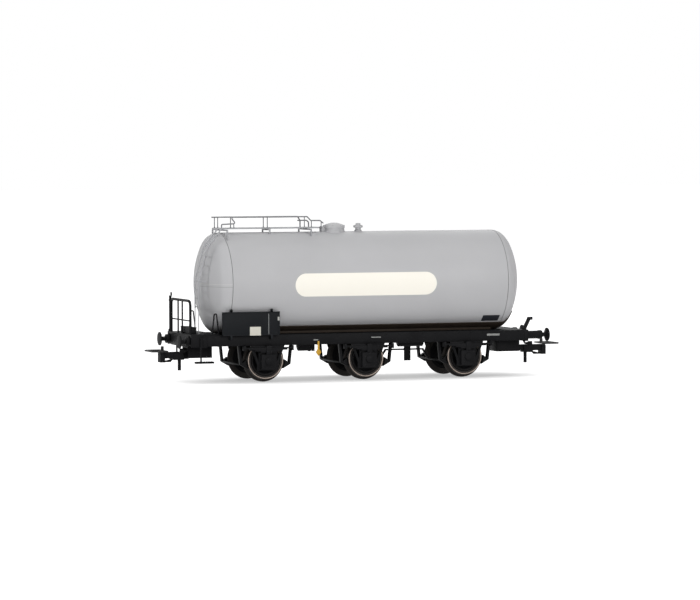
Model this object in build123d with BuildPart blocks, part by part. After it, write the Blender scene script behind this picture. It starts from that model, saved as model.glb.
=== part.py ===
# Three-axle railway tank car with a brakeman's platform, a small-scale model at 1:87.
# Millimetres. +X points away from the platform, -Y is the near side, +Z is up.
# The origin is on the floor, under the middle axle, on the centre line.

from build123d import *
import math
import os

os.makedirs("parts", exist_ok=True)

# Wheels and axles
axle_spacing = 31.1
flange_diameter = 12.6
tread_diameter = 11.0
wheel_width = 2.8
back_to_back = 14.3
flange_thickness = 0.9
tyre_thickness = 0.9
rim_thickness = 0.9
rim_groove = 0.35
disc_thickness = 0.7
disc_recess = 1.3
face_recess = 0.1
back_recess = 0.2
axle_diameter = 2.0
hub_diameter = 3.6
journal_diameter = 1.2
axle_seat = 0.5
journal_clearance = 0.05

# Underframe, measured outwards from the wheels
wheel_to_solebar = 2.05
frame_overhang = 19.6
frame_top = 13.9
solebar_height = 3.1
solebar_plate = 0.6
solebar_flange = 1.6
headstock_thickness = 1.2
headstock_drop = 0.3
floor_thickness = 0.8
sill_width = 0.8
sill_spacing = 5.0

# Axle guards, springs and axleboxes
guard_top_width = 10.4
guard_foot_width = 6.4
guard_foot_height = 1.7
guard_bottom = 3.5
guard_strip = 0.6
axlebox_width = 4.4
axlebox_bottom = 3.8
axlebox_top = 8.2
axlebox_front = 1.1
axlebox_cover = 2.2
axlebox_cover_height = 0.4
axlebox_lip = 0.5
spring_length = 14.6
spring_leaves = 4
leaf_thickness = 0.38
leaf_step = 3.2
spring_width = 1.2
spring_top = 10.3
buckle_width = 1.6
shackle_width = 0.7

# Brake gear
shoe_clearance = 0.4
shoe_width = 1.6
shoe_reach = 1.4
shoe_rise = 1.0
shoe_drop = 2.7
shoe_tip_drop = 1.1
hanger_thickness = 0.6
beam_thickness = 0.5
linkage_top = 8.4
linkage_thickness = 0.45
lever_width = 2.0
lever_bottom = 4.8

# Brake cylinder, air reservoir and changeover handle
cylinder_diameter = 4.0
cylinder_length = 3.6
cylinder_offset = 2.4
cylinder_side = 4.0
cylinder_cover = 0.4
piston_diameter = 0.9
piston_length = 1.0
lever_drop = 2.1
hanger_strap = 0.4
reservoir_diameter = 3.6
reservoir_length = 7.6
handle_width = 1.7
handle_height = 2.4
handle_stem = 0.5
handle_thickness = 0.4

# Tank
tank_radius = 14.6
saddle_height = 0.5
tank_seam_left_inset = 8.6
tank_seam_right_inset = 7.4
end_depth = 6.7
knuckle_radius = 4.2
belly_depth = 1.9
belly_end_rise = 2.4
belly_rise_length = 3.6
saddle_width = 10.0
saddle_margin = 2.0
seat_clearance = 0.05

# Fittings on the roof
manhole_gap = 0.75
manhole_radius = 3.25
manhole_height = 1.7
manhole_crown = 0.9
hinge_width = 1.6
hinge_reach = 1.0
valve_spacing = 7.6
valve_stem_diameter = 1.8
valve_flange_diameter = 2.9
valve_flange_thickness = 0.6
valve_flange_height = 1.1
valve_cap_diameter = 1.5
valve_height = 2.4

# Roof walkway
walkway_left_inset = 1.5
walkway_length = 32.1
walkway_width = 4.2
walkway_height = 1.0
walkway_plate = 0.4
rail_height = 3.1
rail_low = 1.9
wire = 0.4
thin_wire = 0.3
bracket_strap = 0.45

# Brakeman's platform
platform_reach = 3.7
platform_plate = 0.5
platform_tuck = 3.0
skirt_bottom = 10.6
skirt_thickness = 0.5
railing_inset = 0.3
railing_height = 9.8
railing_mid = 3.9
railing_near_inset = 1.6
railing_far_inset = 3.0
railing_corner = 1.6
column_diameter = 0.75
column_foot = 1.3
column_rise = 0.8
crank_length = 1.0
box_length = 9.6
box_height = 2.0
box_depth = 1.9

# Ladder on the platform end of the tank
ladder_width = 3.6
ladder_middle = 6.0
ladder_gap = 2.0
ladder_foot = 7.4
ladder_knee = 0.6
ladder_bend_share = 0.71
rungs = 7

# Steps, grab loops and sign boards along the sides
step_length = 5.5
step_depth = 1.8
step_height = 6.0
step_plate = 0.35
grab_height = 6.3
grab_width = 2.0
grab_inset = 3.8
grab_bend = 0.28
board_length = 17.6
board_height = 6.9
board_gap = 1.4
board_thickness = 0.4
board_inset = 5.2
board_foot = 0.6
clip_height = 0.8

# Buffers
buffer_reach = 7.1
buffer_spacing = 20.1
buffer_z = 12.28
buffer_head = 4.0
buffer_head_thickness = 0.6
buffer_head_cone = 0.5
buffer_shank = 1.3
buffer_barrel = 2.0
buffer_barrel_length = 3.8
buffer_collar = 2.45
buffer_collar_length = 1.1
buffer_base = 2.8
buffer_base_thickness = 0.5

# Couplers, measured outwards from the headstocks
coupler_tip_reach = 13.35
coupler_z = 7.95
coupler_box_length = 7.3
coupler_box_reach = 1.3
coupler_box_offset = 0.6
coupler_box_width = 6.0
coupler_wall = 0.5
shank_width = 2.2
shank_height = 1.8
shank_bulge = 1.0
swing_inset = 2.7
head_reach = 9.15
head_thickness = 1.4
head_width = 3.0
head_bottom = 5.9
head_top = 8.6
lug_width = 1.0
lug_top = 10.6
loop_width = 8.0
loop_z = 9.25
loop_wire = 0.5
loop_bend = 0.9
loop_pivot_reach = 8.5
guard_wire = 0.35
pin_reach = 3.7
pin_bottom = 3.4
pin_diameter = 1.0

# Brake hose beside each coupler, measured outwards from the headstock
hose_gap = 0.4
hose_z = 11.4
hose_reach = 4.6
hose_sag = 2.0
hose_diameter = 0.6
hose_head = 1.2

# Lever on the headstock at the right end
lever_side = 9.7
lever_foot = 1.0
lever_length = 3.2
lever_lean = 30.0
lever_diameter = 0.7
lever_grip = 0.9

# Worked-out places
wheel_radius = flange_diameter / 2
axle_z = wheel_radius
tread_radius = tread_diameter / 2
wheel_inner = back_to_back / 2
wheel_outer = wheel_inner + wheel_width
axle_places = (-axle_spacing, 0.0, axle_spacing)
side_y = wheel_outer + wheel_to_solebar
web_y = side_y - solebar_plate
flange_y = side_y - solebar_flange
axle_end_y = side_y + solebar_plate / 2
frame_end = axle_spacing + frame_overhang
frame_inner = frame_end - headstock_thickness
frame_bottom = frame_top - solebar_height
floor_bottom = frame_top - floor_thickness
tank_bottom = frame_top + saddle_height
tank_axis_z = tank_bottom + tank_radius
tank_top = tank_axis_z + tank_radius
tank_seam_left = -(frame_end - tank_seam_left_inset)
tank_seam_right = frame_end - tank_seam_right_inset
flat_radius = tank_radius - knuckle_radius
crown_radius = (end_depth**2 + flat_radius**2 - knuckle_radius**2) / (2 * (end_depth - knuckle_radius))
end_tip_left = tank_seam_left - end_depth
end_tip_right = tank_seam_right + end_depth
belly_top = tank_bottom + belly_depth
walkway_z = tank_top + walkway_height
walkway_top = walkway_z + walkway_plate
walkway_left = tank_seam_left - walkway_left_inset
walkway_right = walkway_left + walkway_length
rail_y = walkway_width / 2 - wire / 2
platform_top = frame_top + platform_plate
coupler_box_bottom = coupler_z - shank_height / 2
coupler_box_top = frame_bottom - headstock_drop
sides = (("near", -1), ("far", 1))
ends = (("left", -1), ("right", 1))
tank_axis = Axis((0, 0, tank_axis_z), (1, 0, 0))


def keep(piece, name):
    """Label a finished piece and write it to a file of its own."""
    piece.part.label = name
    export_step(piece.part, f"parts/{name}.step")


def upright_plane(y):
    """A sketch plane that stands along the wagon at y, drawn in X and Z, extruded towards -Y."""
    return Plane(origin=(0, y, 0), x_dir=(1, 0, 0), z_dir=(0, -1, 0))


def across_plane(x):
    """A sketch plane that stands across the wagon at x, drawn in Y and Z, extruded towards +X."""
    return Plane(origin=(x, 0, 0), x_dir=(0, 1, 0), z_dir=(1, 0, 0))


def block(x_span, y_span, z_span, mode=Mode.ADD):
    """A plain block between two places along each direction."""
    spans = (x_span, y_span, z_span)
    with Locations(tuple(sum(span) / 2 for span in spans)):
        Box(*[abs(span[1] - span[0]) for span in spans], mode=mode)


def plate(outline, y_span, mode=Mode.ADD):
    """A plate standing along the wagon, its outline given in X and Z."""
    with BuildSketch(upright_plane(max(y_span))) as section:
        with BuildLine():
            Polyline(*outline, close=True)
        make_face()
    extrude(section.sketch, amount=abs(y_span[1] - y_span[0]), mode=mode)


def rod(start, end, diameter, mode=Mode.ADD):
    """A straight round bar from one point to another."""
    run = Vector(*end) - Vector(*start)
    with BuildSketch(Plane(origin=start, z_dir=run)) as section:
        Circle(diameter / 2)
    extrude(section.sketch, amount=run.length, mode=mode)


def bar(start, end, thickness):
    """A straight square bar from one point to another."""
    run = Vector(*end) - Vector(*start)
    with BuildSketch(Plane(origin=start, z_dir=run)) as section:
        Rectangle(thickness, thickness)
    extrude(section.sketch, amount=run.length)


def bent_wire(points, bend, diameter):
    """A wire along straight runs, with an arc of the given radius at each corner."""
    with BuildLine() as route:
        FilletPolyline(*points, radius=bend)
    path = route.line
    with BuildSketch(Plane(origin=path @ 0, z_dir=path % 0)) as section:
        RegularPolygon(diameter / 2, 6)
    sweep(section.sketch, path=path)


def clear_of_tank():
    """Cut the foot of a roof fitting to the tank's curve."""
    rod(
        (tank_seam_left, 0, tank_axis_z),
        (tank_seam_right, 0, tank_axis_z),
        2 * (tank_radius + seat_clearance),
        mode=Mode.SUBTRACT,
    )


# Tank: half the profile of a dished end, a knuckle arc running into a crown arc
def dished_half(seam_x, outward):
    turn = math.degrees(math.asin(flat_radius / (crown_radius - knuckle_radius)))
    crown_start = 0 if outward > 0 else 180
    CenterArc((seam_x, tank_axis_z + flat_radius), knuckle_radius, 90, -outward * (90 - turn))
    CenterArc(
        (seam_x + outward * (end_depth - crown_radius), tank_axis_z),
        crown_radius,
        crown_start + outward * turn,
        -outward * turn,
    )


# Tank: the region of the darker belly shell, whose edge rises towards both ends
def belly_region(mode):
    past = end_depth / 4
    plate(
        (
            (end_tip_left - past, belly_top + belly_end_rise),
            (end_tip_left, belly_top + belly_end_rise),
            (end_tip_left + belly_rise_length, belly_top),
            (end_tip_right - belly_rise_length, belly_top),
            (end_tip_right, belly_top + belly_end_rise),
            (end_tip_right + past, belly_top + belly_end_rise),
            (end_tip_right + past, frame_top),
            (end_tip_left - past, frame_top),
        ),
        (-tank_radius, tank_radius),
        mode=mode,
    )


with BuildPart() as tank_barrel:
    with BuildSketch(across_plane(tank_seam_left)):
        with Locations((0, tank_axis_z)):
            Circle(tank_radius)
    extrude(amount=tank_seam_right - tank_seam_left)
    belly_region(Mode.SUBTRACT)
keep(tank_barrel, "tank_barrel")

for end_name, outward in ends:
    seam_x = tank_seam_right if outward > 0 else tank_seam_left
    with BuildPart() as tank_end:
        with BuildSketch(upright_plane(0)):
            with BuildLine():
                dished_half(seam_x, outward)
                Polyline(
                    (seam_x + outward * end_depth, tank_axis_z),
                    (seam_x, tank_axis_z),
                    (seam_x, tank_top),
                )
            make_face()
        revolve(axis=tank_axis)
        belly_region(Mode.SUBTRACT)
    keep(tank_end, f"tank_end_{end_name}")

with BuildPart() as tank_belly:
    with BuildSketch(upright_plane(0)):
        with BuildLine():
            dished_half(tank_seam_left, -1)
            dished_half(tank_seam_right, 1)
            Line((tank_seam_left, tank_top), (tank_seam_right, tank_top))
            Line((end_tip_left, tank_axis_z), (end_tip_right, tank_axis_z))
        make_face()
    revolve(axis=tank_axis)
    belly_region(Mode.INTERSECT)
    block(
        (tank_seam_left + saddle_margin, tank_seam_right - saddle_margin),
        (-saddle_width / 2, saddle_width / 2),
        (frame_top, tank_bottom + saddle_height),
    )
keep(tank_belly, "tank_belly")

# Manhole: a low neck with a domed lid and its hinge, the foot cut to the tank's curve
manhole_x = walkway_right + manhole_gap + hinge_reach + manhole_radius
lid_edge = tank_top + manhole_height
lid_radius = (manhole_radius**2 + manhole_crown**2) / (2 * manhole_crown)
with BuildPart() as manhole:
    with BuildSketch(upright_plane(0)):
        with BuildLine():
            Polyline(
                (manhole_x, lid_edge + manhole_crown),
                (manhole_x, tank_top - manhole_radius / 2),
                (manhole_x + manhole_radius, tank_top - manhole_radius / 2),
                (manhole_x + manhole_radius, lid_edge),
            )
            CenterArc(
                (manhole_x, lid_edge + manhole_crown - lid_radius),
                lid_radius,
                90,
                -math.degrees(math.asin(manhole_radius / lid_radius)),
            )
        make_face()
    revolve(axis=Axis((manhole_x, 0, 0), (0, 0, 1)))
    block(
        (manhole_x - manhole_radius - hinge_reach, manhole_x - manhole_radius / 2),
        (-hinge_width / 2, hinge_width / 2),
        (tank_top - saddle_height, lid_edge - manhole_crown / 4),
    )
    clear_of_tank()
keep(manhole, "manhole")

# Vent valve: stem, flange and cap, given by diameter and the heights where each begins and ends
valve_x = manhole_x + valve_spacing
flange_top = valve_flange_height + valve_flange_thickness
valve_steps = (
    (valve_stem_diameter, -saddle_height, valve_flange_height),
    (valve_flange_diameter, valve_flange_height, flange_top),
    (valve_cap_diameter, flange_top, valve_height),
)
with BuildPart() as vent_valve:
    for diameter, low, high in valve_steps:
        rod((valve_x, 0, tank_top + low), (valve_x, 0, tank_top + high), diameter)
    clear_of_tank()
keep(vent_valve, "vent_valve")

# Roof walkway: floor plate
with BuildPart() as walkway_floor:
    block(
        (walkway_left, walkway_right),
        (-walkway_width / 2, walkway_width / 2),
        (walkway_z, walkway_top),
    )
keep(walkway_floor, "walkway_floor")

# Roof walkway: the wires of each rail, their points given by share of the walkway's length and
# of the rail's height, then the upright posts the same way
low_share = rail_low / rail_height
rail_wires = {
    "near": (
        (
            (0.053, 0.0),
            (0.053, 0.33),
            (0.19, 0.39),
            (0.14, 1.0),
            (0.876, 1.0),
            (0.912, low_share),
            (1.0, low_share),
            (1.034, 0.35),
        ),
    ),
    "far": (
        ((0.022, 0.0), (0.022, 1.0), (0.822, 1.0), (0.847, low_share), (0.847, 0.0)),
        ((0.822, low_share), (0.91, low_share), (0.93, 0.7 * low_share), (0.93, 0.0)),
    ),
}
rail_posts = {
    "near": ((0.17, 0.33), (0.492, 1.0), (0.85, 1.0), (0.918, low_share)),
    "far": ((0.053, 1.0), (0.176, 1.0), (0.492, 1.0)),
}
for side_name, side in sides:
    with BuildPart() as walkway_rail:
        rail_line = side * rail_y
        for points in rail_wires[side_name]:
            bent_wire(
                [
                    (walkway_left + along * walkway_length, rail_line, walkway_top + up * rail_height)
                    for along, up in points
                ],
                thin_wire,
                wire,
            )
        for along, up in rail_posts[side_name]:
            post_x = walkway_left + along * walkway_length
            post_top = walkway_top + up * rail_height
            bar((post_x, rail_line, walkway_top), (post_x, rail_line, post_top), thin_wire)
        if side_name == "near":
            strut_x = walkway_right + wire
            strut_foot = tank_axis_z + math.sqrt(tank_radius**2 - rail_y**2) + seat_clearance
            strut_top = walkway_top + rail_low - wire / 2
            bar((strut_x, rail_line, strut_foot), (strut_x, rail_line, strut_top), thin_wire)
    keep(walkway_rail, f"walkway_rail_{side_name}")

# Roof walkway: upright brackets between the floor plate and the tank, given by share of the
# walkway's length and of the tank's radius at which each foot stands from the centre line
bracket_places = ((0.056, 0.514), (0.5, 0.25), (0.875, 0.41))
with BuildPart() as walkway_brackets:
    for along, aside in bracket_places:
        foot_y = aside * tank_radius
        foot_z = tank_axis_z + math.sqrt(tank_radius**2 - foot_y**2)
        bracket_x = walkway_left + along * walkway_length
        bracket_span = (bracket_x - bracket_strap / 2, bracket_x + bracket_strap / 2)
        block(bracket_span, (-foot_y, foot_y), (walkway_z - bracket_strap, walkway_z))
        for foot_side in (-1, 1):
            block(
                bracket_span,
                (foot_side * (foot_y - bracket_strap), foot_side * foot_y),
                (foot_z - bracket_strap, walkway_z),
            )
    clear_of_tank()
keep(walkway_brackets, "walkway_brackets")

# Solebars: channels that open inwards, from headstock to headstock
for side_name, side in sides:
    with BuildPart() as solebar:
        block((-frame_inner, frame_inner), (side * web_y, side * side_y), (frame_bottom, frame_top))
        for flange_z in (frame_bottom, frame_top - solebar_plate):
            block(
                (-frame_inner, frame_inner),
                (side * flange_y, side * web_y),
                (flange_z, flange_z + solebar_plate),
            )
    keep(solebar, f"solebar_{side_name}")

# Headstocks across both ends
for end_name, outward in ends:
    with BuildPart() as headstock:
        block(
            (outward * frame_inner, outward * frame_end),
            (-side_y, side_y),
            (frame_bottom - headstock_drop, frame_top),
        )
    keep(headstock, f"headstock_{end_name}")

# Frame floor between the solebars, with two centre sills and a pad over each coupler box
box_outer = frame_end + coupler_box_reach
with BuildPart() as frame_floor:
    block((-frame_inner, frame_inner), (-flange_y, flange_y), (floor_bottom, frame_top))
    for sill_side in (-1, 1):
        sill_y = sill_side * sill_spacing / 2
        block(
            (-frame_inner, frame_inner),
            (sill_y - sill_width / 2, sill_y + sill_width / 2),
            (frame_bottom, floor_bottom),
        )
    for end_name, outward in ends:
        box_x = outward * box_outer - coupler_box_offset
        block(
            (box_x - outward * coupler_box_length, outward * frame_inner),
            (-coupler_box_width / 2, coupler_box_width / 2),
            (coupler_box_top, floor_bottom),
        )
keep(frame_floor, "frame_floor")

# Axle guards: W-shaped plate, axlebox with a round cover, stepped leaf spring with its shackles
for axle_index, axle_x in enumerate(axle_places, start=1):
    for side_name, side in sides:
        plate_span = (side * web_y, side * side_y)
        front_y = side_y + axlebox_front
        with BuildPart() as axle_guard:
            plate(
                (
                    (axle_x - guard_top_width / 2, frame_bottom),
                    (axle_x - guard_foot_width / 2, guard_bottom + guard_foot_height),
                    (axle_x - guard_foot_width / 2, guard_bottom),
                    (axle_x + guard_foot_width / 2, guard_bottom),
                    (axle_x + guard_foot_width / 2, guard_bottom + guard_foot_height),
                    (axle_x + guard_top_width / 2, frame_bottom),
                ),
                plate_span,
            )
            for lean in (-1, 1):
                inner_x = axle_x + lean * (axlebox_width / 2 + guard_strip)
                outer_x = axle_x + lean * (guard_top_width / 2 - 1.6 * guard_strip)
                plate(
                    (
                        (inner_x, frame_bottom - guard_strip),
                        (outer_x, frame_bottom - guard_strip),
                        (inner_x, guard_bottom + 1.6 * guard_foot_height),
                    ),
                    plate_span,
                    mode=Mode.SUBTRACT,
                )
            block(
                (axle_x - axlebox_width / 2, axle_x + axlebox_width / 2),
                (side * (web_y - solebar_plate), side * front_y),
                (axlebox_bottom, axlebox_top),
            )
            block(
                (axle_x - axlebox_width / 2, axle_x + axlebox_width / 2),
                (side * front_y, side * (front_y + axlebox_cover_height)),
                (axlebox_bottom, axlebox_bottom + axlebox_lip),
            )
            rod(
                (axle_x, side * front_y, axle_z),
                (axle_x, side * (front_y + axlebox_cover_height), axle_z),
                axlebox_cover,
            )
            spring_span = (side * side_y, side * (side_y + spring_width))
            for leaf in range(spring_leaves):
                leaf_half = (spring_length - leaf * leaf_step) / 2
                leaf_top = spring_top - leaf * leaf_thickness
                leaf_span = (axle_x - leaf_half, axle_x + leaf_half)
                block(leaf_span, spring_span, (leaf_top - leaf_thickness, leaf_top))
            block(
                (axle_x - buckle_width / 2, axle_x + buckle_width / 2),
                (side * side_y, side * (side_y + spring_width + guard_strip / 2)),
                (axlebox_top, frame_bottom),
            )
            for lean in (-1, 1):
                shackle_x = axle_x + lean * spring_length / 2
                block(
                    (shackle_x - shackle_width / 2, shackle_x + shackle_width / 2),
                    (side * web_y, side * (side_y + spring_width)),
                    (spring_top - 2.5 * leaf_thickness, frame_bottom),
                )
            rod(
                (axle_x, side * (web_y - 3 * solebar_plate), axle_z),
                (axle_x, side * (axle_end_y + journal_clearance), axle_z),
                journal_diameter + 2 * journal_clearance,
                mode=Mode.SUBTRACT,
            )
        keep(axle_guard, f"axle_guard_{axle_index}_{side_name}")

# Wheelsets: the axle with its dished wheel centres, whose section is given by distance from the
# wheel's inner face and radius, and two flanged tyres around them
centre_radius = tread_radius - tyre_thickness
rim_inner = centre_radius - rim_thickness
centre_section = (
    (back_recess, 0.0),
    (back_recess, hub_diameter / 2),
    (wheel_width - disc_recess - disc_thickness, hub_diameter / 2),
    (wheel_width - disc_recess / 2 - disc_thickness, rim_inner),
    (back_recess, rim_inner),
    (back_recess, centre_radius),
    (wheel_width - rim_groove, centre_radius),
    (wheel_width - rim_groove, centre_radius - rim_thickness / 2),
    (wheel_width - face_recess, centre_radius - rim_thickness / 2),
    (wheel_width - face_recess, rim_inner),
    (wheel_width - disc_recess / 2, rim_inner),
    (wheel_width - disc_recess, hub_diameter / 2),
    (wheel_width - face_recess, hub_diameter / 2),
    (wheel_width - face_recess, 0.0),
)
tyre_section = (
    (0.0, centre_radius),
    (0.0, wheel_radius),
    (flange_thickness * 0.6, wheel_radius),
    (flange_thickness, tread_radius),
    (wheel_width, tread_radius),
    (wheel_width, centre_radius),
)


def wheel_ring(axle_x, side, section):
    """Turn a section, given from the wheel's inner face, around the axle."""
    with BuildSketch(Plane(origin=(axle_x, 0, axle_z), x_dir=(0, 1, 0), z_dir=(1, 0, 0))) as profile:
        with BuildLine():
            Polyline(*[(side * (wheel_inner + across), radius) for across, radius in section], close=True)
        make_face()
    revolve(profile.sketch, axis=Axis((axle_x, 0, axle_z), (0, 1, 0)))


for axle_index, axle_x in enumerate(axle_places, start=1):
    with BuildPart() as wheelset:
        for half, diameter in ((axle_end_y, journal_diameter), (wheel_inner + axle_seat, axle_diameter)):
            rod((axle_x, -half, axle_z), (axle_x, half, axle_z), diameter)
        for side_name, side in sides:
            wheel_ring(axle_x, side, centre_section)
    keep(wheelset, f"wheelset_{axle_index}")
    with BuildPart() as tyres:
        for side_name, side in sides:
            wheel_ring(axle_x, side, tyre_section)
    keep(tyres, f"tyres_{axle_index}")

# Brake shoes: a wedge beside every wheel on a hanger from the floor
shoe_face = tread_radius + shoe_clearance
shoe_tip = shoe_face + shoe_reach + shoe_clearance
hanger_x = wheel_radius + hanger_thickness + shoe_reach
for side_name, side in sides:
    shoe_span = (side * (wheel_outer - shoe_width), side * wheel_outer)
    with BuildPart() as brake_shoes:
        for axle_x in axle_places:
            for fore in (-1, 1):
                plate(
                    (
                        (axle_x + fore * (shoe_face - shoe_rise), axle_z - shoe_drop),
                        (axle_x + fore * shoe_tip, axle_z - shoe_tip_drop),
                        (axle_x + fore * (shoe_face - shoe_rise), axle_z + shoe_rise),
                    ),
                    shoe_span,
                )
                plate(
                    (
                        (axle_x + fore * (shoe_tip - hanger_thickness), axle_z - shoe_tip_drop),
                        (axle_x + fore * shoe_tip, axle_z - shoe_tip_drop),
                        (axle_x + fore * hanger_x, frame_bottom),
                        (axle_x + fore * hanger_x, floor_bottom),
                        (axle_x + fore * (hanger_x - hanger_thickness), floor_bottom),
                        (axle_x + fore * (hanger_x - hanger_thickness), frame_bottom),
                    ),
                    shoe_span,
                )
            rod(
                (axle_x, side * wheel_inner, axle_z),
                (axle_x, side * side_y, axle_z),
                2 * shoe_face,
                mode=Mode.SUBTRACT,
            )
    keep(brake_shoes, f"brake_shoes_{side_name}")

# Brake levers: a beam across each pair of shoes, and the linkage that joins them
beam_y = wheel_outer - shoe_width
beam_x = shoe_tip - beam_thickness / 2
beam_z = axle_z - shoe_tip_drop
linkage_left = beam_x + lever_width
linkage_right = axle_spacing - beam_x - lever_width
lever_x = axle_spacing / 2 + lever_width / 2
with BuildPart() as brake_levers:
    for axle_x in axle_places:
        for fore in (-1, 1):
            beam_place = axle_x + fore * beam_x
            block(
                (beam_place - beam_thickness / 2, beam_place + beam_thickness / 2),
                (-beam_y, beam_y),
                (beam_z - beam_thickness / 2, beam_z + beam_thickness / 2),
            )
    plate(
        (
            (beam_x, beam_z),
            (linkage_left, linkage_top),
            (linkage_right, linkage_top),
            (axle_spacing - beam_x, beam_z),
            (axle_spacing - beam_x - linkage_thickness, beam_z),
            (linkage_right - linkage_thickness, linkage_top - linkage_thickness),
            (linkage_left + linkage_thickness, linkage_top - linkage_thickness),
            (beam_x + linkage_thickness, beam_z),
        ),
        (-linkage_thickness / 2, linkage_thickness / 2),
    )
    block(
        (lever_x - lever_width / 2, lever_x + lever_width / 2),
        (-linkage_thickness / 2, linkage_thickness / 2),
        (lever_bottom, floor_bottom),
    )
keep(brake_levers, "brake_levers")

# Brake cylinder with its covers, piston and lever, hung in a strap between the first two axles
cylinder_middle = -axle_spacing / 2 - cylinder_offset
cylinder_z = floor_bottom - cylinder_diameter / 2 - hanger_strap
cylinder_left = cylinder_middle - cylinder_length / 2
cylinder_right = cylinder_middle + cylinder_length / 2
cylinder_y = -cylinder_side - cylinder_diameter / 2
piston_end = cylinder_right + piston_length
with BuildPart() as brake_cylinder:
    rod((cylinder_left, cylinder_y, cylinder_z), (cylinder_right, cylinder_y, cylinder_z), cylinder_diameter)
    rod(
        (cylinder_right - cylinder_cover, cylinder_y, cylinder_z),
        (cylinder_right, cylinder_y, cylinder_z),
        cylinder_diameter + cylinder_cover,
    )
    rod((cylinder_right, cylinder_y, cylinder_z), (piston_end, cylinder_y, cylinder_z), piston_diameter)
    block(
        (cylinder_middle - hanger_strap, cylinder_middle + hanger_strap),
        (cylinder_y - cylinder_diameter / 4, cylinder_y + cylinder_diameter / 4),
        (cylinder_z, floor_bottom),
    )
    block(
        (piston_end - hanger_strap, piston_end + hanger_strap),
        (cylinder_y - hanger_strap, cylinder_y + hanger_strap),
        (cylinder_z - lever_drop, floor_bottom),
    )
keep(brake_cylinder, "brake_cylinder")

# Air reservoir between the second and third axles
reservoir_y = -sill_spacing / 2 - sill_width - reservoir_diameter / 2
reservoir_z = frame_bottom + reservoir_diameter / 12
reservoir_left = axle_spacing / 2 - reservoir_length / 2
with BuildPart() as air_reservoir:
    rod(
        (reservoir_left, reservoir_y, reservoir_z),
        (reservoir_left + reservoir_length, reservoir_y, reservoir_z),
        reservoir_diameter,
    )
    for strap_at in (0.25, 0.75):
        strap_x = reservoir_left + strap_at * reservoir_length
        block(
            (strap_x - hanger_strap, strap_x + hanger_strap),
            (reservoir_y - reservoir_diameter / 4, reservoir_y + reservoir_diameter / 4),
            (reservoir_z, floor_bottom),
        )
keep(air_reservoir, "air_reservoir")

# Changeover handle: a lozenge plate on a stem below the near solebar
handle_x = -axle_spacing / 2
handle_top = frame_bottom - 2 * handle_stem
handle_span = (-side_y, -side_y - handle_thickness)
with BuildPart() as changeover_handle:
    plate(
        (
            (handle_x, handle_top),
            (handle_x + handle_width / 2, handle_top - handle_height / 2),
            (handle_x, handle_top - handle_height),
            (handle_x - handle_width / 2, handle_top - handle_height / 2),
        ),
        handle_span,
    )
    block(
        (handle_x - handle_stem / 2, handle_x + handle_stem / 2),
        handle_span,
        (handle_top - handle_stem, frame_bottom + 2 * handle_stem),
    )
keep(changeover_handle, "changeover_handle")

# Platform: floor plate over the headstock, and a skirt with a notch for each buffer
skirt_x = -frame_end - platform_reach
notch = buffer_base / 2 + platform_plate / 2
with BuildPart() as platform:
    block((skirt_x, end_tip_left + platform_tuck), (-side_y, side_y), (frame_top, platform_top))
    block((skirt_x, skirt_x + skirt_thickness), (-side_y, side_y), (skirt_bottom, frame_top))
    for side_name, side in sides:
        side_span = (side * (side_y - skirt_thickness), side * side_y)
        block((skirt_x, -frame_end), side_span, (skirt_bottom, frame_top))
        buffer_y = side * buffer_spacing / 2
        block(
            (skirt_x - skirt_thickness, skirt_x + 2 * skirt_thickness),
            (buffer_y - notch, buffer_y + notch),
            (skirt_bottom - skirt_thickness, buffer_z),
            mode=Mode.SUBTRACT,
        )
        rod(
            (skirt_x - skirt_thickness, buffer_y, buffer_z),
            (skirt_x + 2 * skirt_thickness, buffer_y, buffer_z),
            2 * notch,
            mode=Mode.SUBTRACT,
        )
keep(platform, "platform")

# End railing: one bent wire with a middle rail and two posts
railing_x = skirt_x + railing_inset
railing_near = -side_y + railing_near_inset
railing_far = side_y - railing_far_inset
railing_top = platform_top + railing_height
with BuildPart() as end_railing:
    bent_wire(
        [
            (railing_x, railing_near, platform_top),
            (railing_x, railing_near, railing_top),
            (railing_x, railing_far, railing_top),
            (railing_x, railing_far, platform_top),
        ],
        railing_corner,
        wire * 1.6,
    )
    bar(
        (railing_x, railing_near, platform_top + railing_mid),
        (railing_x, railing_far, platform_top + railing_mid),
        wire,
    )
    for share in (0.42, 0.64):
        post_y = railing_near + share * (railing_far - railing_near)
        bar((railing_x, post_y, platform_top), (railing_x, post_y, railing_top), wire * 1.25)
keep(end_railing, "end_railing")

# Brake column in line with the railing, with a crank on top
column_x = railing_x
column_y = railing_far + column_foot / 2 + wire
crank_z = railing_top + column_rise
with BuildPart() as brake_column:
    rod((column_x, column_y, platform_top), (column_x, column_y, crank_z), column_diameter)
    bar(
        (column_x, column_y + column_diameter, crank_z - column_diameter / 2),
        (column_x, column_y - crank_length, crank_z - column_diameter / 2),
        column_diameter / 2,
    )
    rod(
        (column_x, column_y - crank_length, crank_z - column_diameter / 2),
        (column_x, column_y - crank_length, crank_z + crank_length),
        column_diameter / 2,
    )
    rod(
        (column_x, column_y, platform_top),
        (column_x, column_y, platform_top + column_diameter),
        column_foot,
    )
keep(brake_column, "brake_column")

# Box on the platform behind the railing
box_near = railing_near + railing_corner
with BuildPart() as platform_box:
    block(
        (railing_x + wire, railing_x + wire + box_depth),
        (box_near, box_near + box_length),
        (platform_top, platform_top + box_height),
    )
keep(platform_box, "platform_box")

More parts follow.
